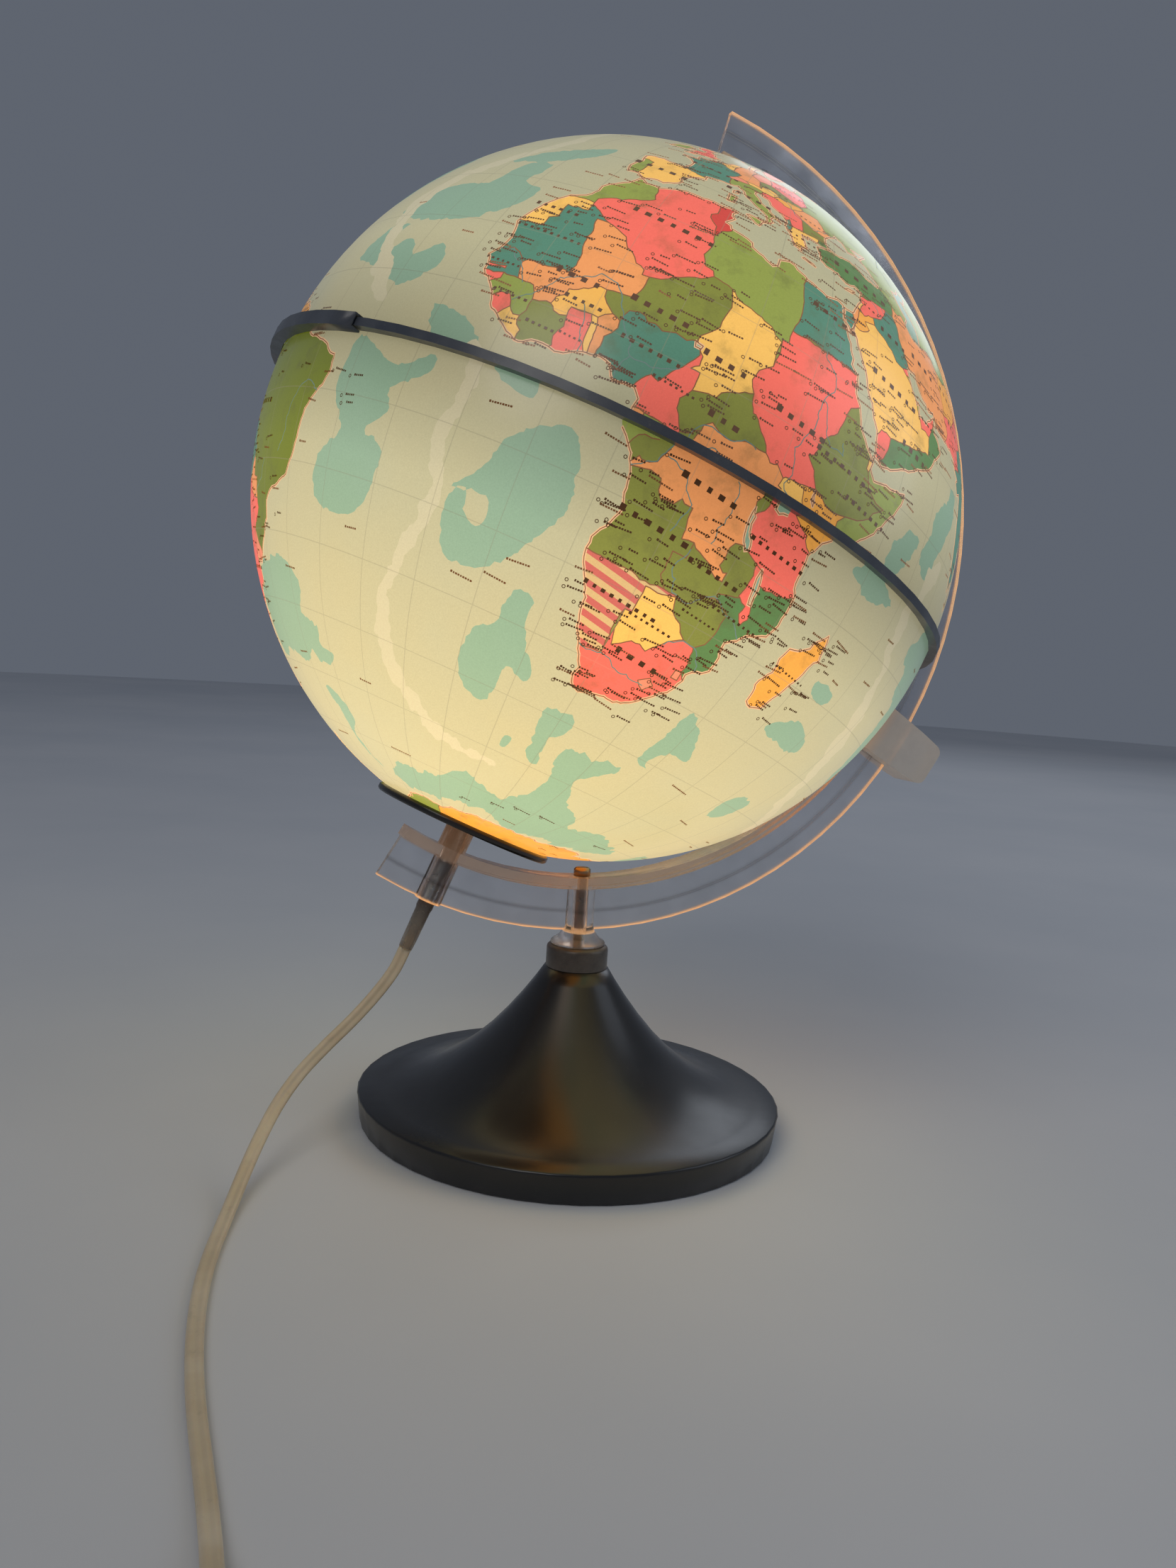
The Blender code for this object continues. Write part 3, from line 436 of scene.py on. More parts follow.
def finishes():
    return {
        "black_plastic": black_plastic(), "collar_plastic": collar_plastic(),
        "clear_acrylic": clear_acrylic(), "frosted_acrylic": frosted_acrylic(),
        "printed_globe": shell_plastic(), "ring_strip": ring_strip(),
        "steel": metal("steel_plated", (0.42, 0.40, 0.38), (0.58, 0.56, 0.53), 0.24, 0.40),
        "bolt": metal("bolt_bronzed", (0.30, 0.19, 0.11), (0.42, 0.28, 0.17), 0.25, 0.42),
        "brass": metal("brass_spun", (0.62, 0.42, 0.16), (0.76, 0.56, 0.24), 0.22, 0.36),
        "cast_steel": metal("iron_cast", (0.10, 0.10, 0.11), (0.17, 0.165, 0.16), 0.55, 0.75, 0.0003, 120),
        "fibreboard": solid("fibreboard_brown", (0.11, 0.060, 0.030), (0.20, 0.115, 0.060), 0.75, 0.92, 260,
                            0.0001),
        "bakelite": solid("bakelite_brown", (0.022, 0.012, 0.008), (0.040, 0.022, 0.014), 0.22, 0.34, 60,
                          coat_weight=0.5, coat_roughness=0.1),
        "ceramic": solid("ceramic_white", (0.66, 0.64, 0.58), (0.78, 0.76, 0.71), 0.22, 0.36, 90,
                         coat_weight=0.6, coat_roughness=0.08),
        "sleeve": smoked_pvc(), "felt": felt(), "opal_glass": opal_glass(), "ivory_pvc": ivory_pvc(),
    }


# The cord

LEAD = [
    (-0.0790, 0.0000, 0.0817), (-0.0794, 0.0000, 0.0809), (-0.0838, -0.0005, 0.0715),
    (-0.0915, -0.0015, 0.0612), (-0.1015, -0.0040, 0.0510), (-0.1130, -0.0085, 0.0415),
    (-0.1240, -0.0150, 0.0325), (-0.1335, -0.0245, 0.0235), (-0.1415, -0.0375, 0.0148),
    (-0.1480, -0.0520, 0.0080), (-0.1535, -0.0680, 0.0036), (-0.1580, -0.0840, 0.0020),
    (-0.1625, -0.1020, 0.0016), (-0.1662, -0.1210, 0.0016), (-0.1690, -0.1420, 0.0016),
    (-0.1706, -0.1630, 0.0016), (-0.1712, -0.1820, 0.0016), (-0.1711, -0.2000, 0.0016),
    (-0.1706, -0.2180, 0.0016), (-0.1702, -0.2340, 0.0017), (-0.1701, -0.2480, 0.0024),
    (-0.1703, -0.2600, 0.0040), (-0.1705, -0.2690, 0.0061), (-0.1705, -0.2787, 0.0073),
]
MIDDLE = [
    (-0.1705, -0.2990, 0.0073), (-0.1705, -0.3190, 0.0073), (-0.1705, -0.3393, 0.0073),
    (-0.1703, -0.3480, 0.0062), (-0.1690, -0.3570, 0.0043), (-0.1650, -0.3665, 0.0034),
    (-0.1580, -0.3740, 0.0032), (-0.1480, -0.3790, 0.0031), (-0.1400, -0.3805, 0.0031),
    (-0.1293, -0.3808, 0.0031), (-0.1190, -0.3822, 0.0031),
]
TAIL = [
    (-0.0900, -0.3867, 0.0088), (-0.0800, -0.3868, 0.0086), (-0.0740, -0.3867, 0.0078),
    (-0.0670, -0.3866, 0.0070), (-0.0590, -0.3865, 0.0067),
]
COIL_CENTRE = Vector((-0.100, -0.352, 0))
COIL_TURNS = 6
COIL_STEPS = 16  # points in a turn
FLEX_CORE = 1.45 * MM  # radius of each core's covering
FLEX_OFFSET = 1.35 * MM  # from the middle of the flex to the middle of a core
LIES_FLAT_AT = -0.08  # y
SWITCH_END = -0.3393  # y
TURNS_ON_EDGE_AT = -0.3480  # y, between the switch and the coil
TURNS_BACK_AT = -0.062  # x, between the coil and the plug
TURNS_WITHIN = 0.02


def coil_points():
    """Six turns: three lower ones inwards, then three upper ones back outwards."""
    points = []
    for i in range(COIL_TURNS * COIL_STEPS + 1):
        turns = i / COIL_STEPS
        angle = math.radians(262 + 360 * turns + 8 * turns / COIL_TURNS)
        upper = min(1.0, max(0.0, (turns - 2.8) / 0.4))
        inward = min(min(turns, COIL_TURNS - turns, 2.85) * 2.4, 6.8)
        radius = (34.5 - inward) * MM
        height = (3.0 + 5.8 * upper) * MM
        points.append(COIL_CENTRE + Vector((radius * math.cos(angle), radius * math.sin(angle), height)))
    return points


def flex_section():
    """Two round cores that meet in a groove: points across the flex, as width and thickness."""
    section = []
    for side, start in ((1, -130), (-1, 50)):
        for i in range(10):
            angle = math.radians(start + 260 * i / 9)
            section.append((side * FLEX_OFFSET + FLEX_CORE * math.cos(angle), FLEX_CORE * math.sin(angle)))
    return section


def widths_of(line):
    """Each point of the route, with the ways the flex's width and thickness point there.

    The width is level on the table and upright in the coil.
    """
    up = Vector((0, 0, 1))
    for i, point in enumerate(line):
        along = (line[min(i + 1, len(line) - 1)] - line[max(i - 1, 0)]).normalized()
        flat = along.cross(up)
        hanging = Vector((0, 1, 0)).cross(along)
        if hanging.dot(flat) < 0:
            hanging.negate()
        lying = min(1.0, max(0.0, point.y / LIES_FLAT_AT)) if i < len(line) / 4 else 1.0
        wide = hanging.lerp(flat, lying * lying * (3 - 2 * lying))
        if point.y < SWITCH_END:
            past = TURNS_ON_EDGE_AT - point.y if i < len(line) / 2 else TURNS_BACK_AT - point.x
            wide = wide.lerp(up, min(1.0, max(0.0, past / TURNS_WITHIN)))
        wide = (wide - along * wide.dot(along)).normalized()
        yield point, wide, along.cross(wide)


def make_cord():
    """Flat twin flex: two cores side by side, flat on the table and on edge in the coil."""
    line = smooth(LEAD + MIDDLE + coil_points() + TAIL, 2.2 * MM)
    section = flex_section()
    count = len(section)
    verts, faces = [], []
    for point, wide, thick in widths_of(line):
        verts += [tuple(point + wide * u + thick * v) for u, v in section]
    for base in range(0, len(verts) - count, count):
        faces += [(base + k, base + (k + 1) % count, base + count + (k + 1) % count, base + count + k)
                  for k in range(count)]
    faces += [tuple(reversed(range(count))), tuple(range(len(verts) - count, len(verts)))]
    mesh = bpy.data.meshes.new("mains_flex")
    mesh.from_pydata(verts, [], faces)
    mesh.shade_smooth()
    work = bmesh.new()
    work.from_mesh(mesh)
    bmesh.ops.recalc_face_normals(work, faces=work.faces)
    work.to_mesh(mesh)
    work.free()
    flex = link(bpy.data.objects.new("mains_flex", mesh), "stand", "ivory_pvc")
    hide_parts("cord_lead", "cord_middle", "cord_coil", "cord_tail")
    length = sum((b - a).length for a, b in zip(line, line[1:]))
    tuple(LEAD[1])
    return flex


# The printed map. Outlines are written as "east,north" in degrees, and a country shows only on its continent

LANDS = """
africa: -5.9,35.8 -5.3,35.9 -4.3,35.2 -2.9,35.3 -2.0,35.1 -0.6,35.8 1,36.5 3,36.8 5,36.8 7.8,37 9.8,37.3
 11,37.1 10.5,36.4 10.6,35.8 11.1,35.4 10.7,34.7 10.1,33.9 11,33.7 11.3,33.1 13.2,32.9 15.1,32.4 15.4,31.6
 16.6,31.2 18,30.7 19.2,30.3 20,30.9 20,32.1 21.6,32.9 22.6,32.8 23.2,32.3 24,32.1 25.2,31.6 27.2,31.3
 29,30.9 29.9,31.2 31,31.6 32.3,31.3 32.5,30 32.7,29 33.6,27.9 34,26.7 34.9,25 35.6,24 35.5,23 36.9,22
 37.2,20.8 37.2,19.6 38.4,18.2 39.2,16.5 39.5,15.6 40.8,14.5 42.4,13.2 43.3,12.4 43.2,11.5 44.5,10.4 47,11.1
 49,11.3 51.3,11.9 51.3,10.4 50.7,9.2 49.8,7.8 48.8,5.9 47.9,4.5 45.4,2 43.8,.9 42.5,-.4 41.5,-1.7 40.3,-2.7
 39.7,-4.1 39.1,-5.1 39.3,-6.8 39.4,-8 39.7,-9.5 40.4,-10.4 40.6,-12.5 40.6,-14.5 39.9,-16.5 38.5,-17.2
 37,-17.9 36.3,-18.9 34.9,-19.9 35,-20.8 35.5,-21.9 35.5,-24.1 34.7,-24.8 33.3,-25.3 32.7,-26 32.9,-26.9
 32.5,-28.3 31.1,-29.9 29.9,-31.3 28,-33 25.7,-34 23.4,-34 22.1,-34.2 20,-34.8 18.8,-34.4 18.4,-34
 17.9,-32.8 18.3,-31.6 17.3,-30 16.5,-28.6 15.2,-26.7 14.8,-25.2 14.5,-22.9 13.4,-20.9 12,-18.4 11.8,-17.3
 11.8,-15.8 12.1,-15.2 13.4,-12.6 13.9,-11 13.2,-8.8 13,-7.9 12.4,-6 11.9,-4.8 11.1,-3.9 9.6,-2.4 8.7,-.7
 9.3,.5 9.8,1.1 9.7,2.3 9.9,3.5 8.9,4.6 8.3,4.6 7,4.4 6,4.3 5.3,5.3 4.9,6 3.4,6.4 1.2,6.1 -.2,5.5 -1,5
 -2.1,4.8 -3.1,5.1 -4,5.2 -5.5,5.1 -7.6,4.4 -9.1,5.1 -10.8,6.3 -11.5,6.9 -12.6,7.4 -13.2,8.5 -13.7,9.5
 -14.6,10.5 -15.4,11.4 -16.1,11.6 -16.7,12.4 -16.7,13.4 -17.1,14.3 -17.5,14.7 -16.5,16 -16,18.1 -16.3,19.2
 -17,20.9 -16.6,22.1 -15.9,23.7 -14.5,26.1 -13.5,27.2 -12.9,27.9 -11.5,28.4 -10.2,29.3 -9.7,30.4 -9.8,31.5
 -9.2,32.3 -7.6,33.6 -6.8,34.1 -6.2,35.1
eurasia: 32.6,29.9 33.2,28.8 34.2,27.8 34.6,28.6 34.9,29.5 34.8,28.4 35.6,27.5 36.6,25.8 37.5,24.3 38.5,23
 39.1,21.4 40.5,19.8 41.4,18 42.5,16.8 42.8,15.5 43.2,13.3 45,12.8 47.5,13.6 49.2,14.6 51,15.2 52.3,16
 54.1,17 55.3,17.6 57,18.9 57.8,20.4 59,21.5 59.8,22.5 58.6,23.6 57,24.2 56.4,26.3 55.3,25.3 54,24.1
 51.6,24.2 51.6,25.3 51.2,26.1 50.8,25.5 50.1,26.5 49,27.6 48.4,28.6 48,29.4 48,30 50,30.2 50.9,28.9
 52.5,27.5 54.8,26.5 56.3,27.1 57.3,25.7 59,25.4 61.6,25.2 64.5,25.3 66.8,24.8 67.5,23.9 68.5,23.4 70.2,22.9
 69,22.2 70.5,20.8 72.3,21.5 72.7,21 72.8,19 73.5,16 74.8,13 75.8,11.3 76.3,9.9 77.5,8.1 78.2,8.9 79.9,10.4
 79.8,12 80.3,13.2 80.1,15.1 82.3,16.7 84,18.3 86.5,20.1 87,21.4 88.5,21.7 90.5,22 91.8,22.5 92.3,20.8
 94,18.5 94.3,16 95.4,15.8 97.2,17 97.7,15 98.6,12.5 98.3,9 100.4,6 101.3,3 103.5,1.3 104.2,1.5 103.4,4.5
 102.2,6.2 100.5,7.3 99.3,9.3 99.9,11.8 100,13.4 101,12.6 102.5,12 103.6,10.6 105,8.7 106.8,10.5 109.2,11.7
 109.2,13.8 107.5,16.8 105.8,18.8 106.5,20.4 108.2,21.5 109.8,21.5 110,20.3 110.5,21.2 113.5,22.2 116.5,22.9
 119,25.3 121.5,28.2 122,30.5 121,32.5 119.5,34.8 120.5,36.2 122.5,37 121,37.7 119,37.4 117.8,39 119.5,39.9
 121.8,40.7 121.3,38.9 124.3,40 125,38 126.5,37 126.4,34.6 129.2,35.3 129.4,37 127.6,39.5 130.5,42.4
 132.5,43.2 135.5,44.5 138.5,47 140.5,50.5 141.2,52.5 138.5,54 135.5,54.7 140,57.8 143.5,59.3 150,59.5
 155,59.5 160,61.7 163,62.5 160,60.5 156.5,57.5 156,53.5 156.7,51 159.5,53.2 162,56 163.5,58.5 166,60
 170.5,60.2 177,62.5 179.5,64.8 187,64.5 190,66 185,67.5 180,69 170,69.8 160,69.7 150,71.5 140,72.8 130,71
 120,73 113,73.8 104,77.7 98,76.2 87,75 80,73 73,71.5 68,68.5 60,69 54,68.5 44,68.3 44,66.5 40.5,64.6 37,65
 34.5,64.5 33,66.5 41,66.8 40.5,67.8 33,69.4 28,71 21,70 15,68.3 12.5,65.5 10.5,63.8 5.5,62.2 5,60.5
 5.6,58.8 7.5,58 10.5,59.3 11.5,58.5 12.8,56 14.3,55.5 16.5,57 18.5,59.8 17.2,61.5 18,62.8 21.5,64.5 24,65.8
 25.3,65 21.5,62.8 21.5,60.8 23,60 28,60.5 30.2,59.9 24.5,59.4 23.5,58.5 24.3,57.3 21.5,57.5 21,55.5
 19.8,54.5 18.5,54.8 14.2,53.9 12,54.3 10.9,54 9.8,55 10.6,57.6 8.2,57 8.3,55 8.8,54 6.8,53.5 4.8,52.9
 4,51.6 2.5,51.1 1.6,50.7 .2,49.7 -1.8,49.7 -1.5,48.6 -4.7,48.4 -2.5,47.3 -1.2,46 -1.2,44.5 -1.8,43.4
 -4.5,43.4 -8,43.7 -9.3,43 -8.7,41 -9.5,38.7 -8.8,37 -7,37.1 -5.6,36 -4.4,36.7 -2.2,36.7 -.7,37.6 .2,38.7
 -.3,39.5 .8,40.8 3.2,41.9 3.1,43 4.8,43.4 7.5,43.8 8.9,44.4 10.3,43.5 11.1,42.3 12.3,41.7 14.3,40.7
 15.7,39.9 16.1,38.7 15.7,38 16.6,38.5 17.1,39.1 16.6,39.8 17,40.5 18.5,40 17.8,40.9 16,41.5 16,41.9 14,42.7
 13.5,43.6 12.4,44.5 12.4,45.4 13.7,45.6 13.7,44.9 15,44.8 15.8,43.6 18.5,42.4 19.5,41.5 19.4,40.3 20.7,38.8
 21.3,37.6 21.8,36.8 23.1,36.5 23.2,37.4 24,37.7 23.5,39 22.8,40.4 24,40 24,40.8 26.1,40.7 27,40.6 29,41
 28,42 27.9,43.5 28.8,44.6 30.7,46.4 32.5,46.1 33,45.3 33.7,44.4 36.4,45.3 35,46.2 38.2,47.1 39.2,47.2
 37.9,46 37,45.2 38.5,44.3 41.5,42 41,41.2 38.5,41 36,41.6 35,42 32.5,41.7 31.2,41.2 29.2,41.2 27,40.3
 26.1,39.8 26.8,38.5 27.2,37.2 28.2,36.7 30.7,36.9 32.5,36.1 34.5,36.8 36.1,36.6 35.8,35.5 35.9,34.5 35,32.8
 34.5,31.6 34.2,31.3 33,31.1 32.5,31.2
america_north: -168,65.7 -162,66.5 -166.5,68.5 -156.5,71.3 -141,69.7 -128,70.3 -115,68.8 -108,68 -96,68
 -94,71.5 -88,68.5 -82,69.5 -81.5,67.5 -86,66 -87,64.5 -94,62 -94.7,59 -92.5,57 -88,56.3 -82.3,55 -82,52.8
 -79.5,51.5 -79,54.5 -77,57 -78.5,60 -77.5,62.5 -72,61.5 -69.5,59 -65,60.2 -62.5,57.5 -57,53.5 -56,51.5
 -60,50.2 -66,50.2 -70,47.5 -65,48.8 -64.5,46.2 -61,45.8 -65.7,43.5 -67,44.8 -70.5,43.3 -70,41.7 -74,40.5
 -75.5,37.5 -76,35.2 -79,33.3 -81.3,31 -80.2,27 -80.5,25.2 -82.7,28 -84,30 -88,30.3 -90.5,29.2 -94.5,29.5
 -97.3,27.5 -97.7,22.5 -96,19.2 -94.5,18.2 -91.5,18.6 -90.4,21 -87,21.5 -88,18.3 -88.7,15.8 -83.5,15
 -83.5,11 -81.5,8.9 -79.5,9.5 -77.4,8.5 -76.6,7.9 -77.8,7.3 -79.5,8.9 -80.5,7.4 -83,8.4 -85.7,10 -87.6,12.8
 -91.5,14 -94,16.2 -96.5,15.7 -101.5,17.7 -105.5,20.3 -105.8,22.6 -109.4,26 -112.5,29.5 -114.8,31.6
 -113,28.5 -109.5,23.1 -112.2,25 -115,28 -116,30.5 -117.2,32.6 -120.6,34.5 -122.5,37.5 -124.3,40.5 -124,46.2
 -123,49 -127.5,51 -130.5,54.5 -135,58.5 -139.5,59.7 -146,60.8 -152,59.5 -154,58 -160,55.5 -164.5,54.6
 -160,57.5 -157.5,58.7 -162,59.5 -166,62 -164,63.3 -161,64.3 -166,64.5
america_south: -77.4,8.5 -76,9.3 -75.5,10.6 -72,12.2 -71.5,10.9 -68.3,11 -64,10.4 -62,10.7 -60.8,9 -57.5,6.2
 -54,5.8 -51.5,4.2 -50,1.8 -50,0 -48,-.8 -44.5,-2.4 -41.5,-2.9 -38.5,-3.7 -36.5,-5 -35.3,-5.2 -34.8,-7.5
 -35.6,-9.5 -37.5,-11.5 -38.5,-13 -39,-16 -39.7,-19.5 -41,-22 -43.2,-23 -46.3,-24.1 -48.6,-26 -48.7,-28.5
 -50.5,-30.8 -53.4,-33.7 -54.9,-34.9 -57.8,-34.4 -58.4,-34 -57.2,-36 -57.6,-38.1 -62,-38.9 -62.3,-40.8
 -65,-41 -63.7,-42.5 -65.3,-44.5 -67.5,-46.2 -65.8,-47.8 -69,-51 -68.4,-52.4 -65.2,-54.8 -69,-55.5 -73,-53
 -75.5,-50 -74.5,-46.5 -72.8,-42 -73.5,-38.5 -71.6,-33 -71.5,-30 -70.3,-25 -70.2,-19 -72,-17 -76.3,-13.9
 -79,-8.2 -81.3,-6 -80.3,-3.5 -81,-2.2 -80,.5 -78.8,1.5 -77.5,4 -77.5,6.8 -76.9,7.6
antarctica: -180,-78 -160,-77 -150,-76 -135,-74.5 -120,-73.5 -100,-72.5 -80,-73 -68,-70 -66,-66 -57.5,-63.3
 -61,-66 -61,-74 -70,-77 -50,-78 -35,-78 -25,-74.5 -10,-71 10,-70 35,-69 55,-66.5 70,-68.5 80,-67 100,-66
 120,-66.5 140,-66.5 160,-70 168,-73 164,-77.5
madagascar: 49.3,-12 50.5,-15.5 49.8,-16 49.4,-18 48.4,-21 47.1,-24.9 45.3,-25.5 44,-25 43.3,-22.5 44.4,-20
 44,-18 44.5,-16.2 46,-15.8 47.6,-14.7 48,-13.5 49,-12.5
britain: -5.5,50.1 -3.5,50.3 1.3,51.2 .5,51.5 1.7,52.7 .2,53 -.2,54.2 -2,55.8 -1.8,57.5 -4,57.7 -3.2,58.6
 -5,58.6 -6,56.8 -4.8,55 -3.2,54.9 -3,53.4 -4.5,53.3 -5.2,51.8 -3,51.5 -4.5,51
ireland: -6.2,52.2 -10.2,51.7 -10,54.2 -7.5,55.3 -5.6,54.5 -6.1,53.3
iceland: -22.5,63.9 -19,63.4 -14,64.7 -16,66.4 -22,66.4 -24,65.5 -22,65.2 -22.5,64.5
sicily: 12.5,37.8 15.1,36.7 15.6,38.2 13,38.1
sardinia: 8.5,39 9.6,39.2 9.7,40.9 8.3,40.9
corsica: 8.7,41.7 9.5,42 9.4,43 8.6,42.4
crete: 23.6,35.2 26.2,35 25.7,35.3 24,35.5
cyprus: 32.4,34.8 33.9,35 34.5,35.6 33,35.3
svalbard: 12,79.5 15,77 20,78.5 25,80 18,80.3
novaya: 52,71.5 57,70.8 58,73.5 68,76.5 62,76 54,73.5
greenland: -44,60 -41.5,63 -38,65.5 -25,69 -20,74 -18,79 -22,82 -35,83.3 -60,82 -68,79 -70,77 -60,76 -54,72
 -52,69 -53,66 -48,61
baffin: -62,66.5 -68,63 -78,64.5 -72,67.5 -80,73 -88,73 -82,70 -72,70.5
ellesmere: -63,82.8 -88,82 -90,80 -80,76.5 -77,79
victoria: -117,70 -105,72.5 -103,69.5 -115,69
newfoundland: -59,47.7 -53,46.8 -53.5,49 -55.8,51.6 -57.5,50
cuba: -84.8,21.9 -82,23.1 -77,21.8 -74.2,20.2 -77.5,19.9 -78.3,21 -82,22.4
hispaniola: -74.4,18.4 -73,19.9 -69.8,19.7 -68.4,18.6 -71,17.8
ceylon: 79.9,9.7 81.8,7.5 80.7,6 79.8,7
sumatra: 95.3,5.6 98.5,4 103.7,-1 106,-3.2 105.8,-5.8 102.3,-4 98.7,1.7
java: 105.3,-6.8 108.5,-6.7 112.5,-6.9 114.5,-7.8 114.3,-8.7 108.5,-7.8 106.4,-7.4
borneo: 109,1.5 111.3,2.5 113.5,4 116.8,7 119.2,5.2 117.7,3.5 118,1 116.5,-1.5 116,-4 113,-3.2 110.2,-2.8
 109.1,0
sulawesi: 119.5,-5.5 120.4,-5.5 120.8,-2.8 122.8,-4.5 121.8,-1.9 123.3,-.9 120.5,-1 120.2,.8 123,.5 125,1.6
 120.5,1.2 119.6,-1 119,-3
new_guinea: 131,-.8 134,-.8 135,-3.3 137.8,-1.6 141,-2.6 145.5,-5 147.7,-6.2 147,-7 150.7,-10.3 147,-9.5
 144.5,-7.7 142.5,-9.2 139,-8.1 138,-5.8 133.5,-3.8 132,-2.5
luzon: 120.3,16 120.8,18.5 122.2,18.3 121.6,15.8 124,13 121,13.8
mindanao: 122,7 125.5,5.6 126.5,7.8 125.4,9.8 123.5,8.6
honshu: 130.9,34.3 135.5,33.6 140,35 141.9,39 141.3,41.4 140,40.6 139.5,38.4 136.8,37.2 132.5,35.4
kyushu: 129.8,33 130.4,31.2 131.8,32.8 131,33.9
hokkaido: 140.2,41.6 143.2,42 145.5,43.3 141.8,45.4 141.2,43.2
taiwan: 120.2,23 121,22 122,25 121,25.1
sakhalin: 142,46.8 143.5,49 143.2,52 142.5,54.3 141.8,52 142,48
australia: 113.7,-22.6 114.2,-26.5 115.7,-31.8 115.1,-34.3 118,-35.1 121.5,-33.9 124,-33 129,-31.7
 131.5,-31.5 134.5,-33 136,-34.8 137.8,-32.7 138.2,-35.2 140.5,-38 144,-38.6 146.4,-39.1 150,-37.4
 151.5,-33.3 153.3,-30 153.2,-25.5 150.8,-23.2 146.3,-18.9 145.3,-15.5 143.6,-14.3 142.5,-10.8 141.6,-13.5
 140.8,-17.5 139,-17.3 135.7,-15 136.8,-12.2 132.6,-11.4 130.8,-12.4 129.5,-14.9 127.5,-14 125,-15 122.2,-18
 119,-20 116,-20.8
tasmania: 144.7,-40.8 148.3,-41 147.5,-43.3 146,-43.4
zealand_north: 172.8,-34.5 175.5,-37 178.4,-37.8 176.8,-40 175,-41.5 173.8,-39.3 174.5,-37
zealand_south: 172.8,-40.6 174.2,-41.7 171,-44.3 169.5,-46.5 166.6,-46 168.5,-44 171.2,-42.2
"""
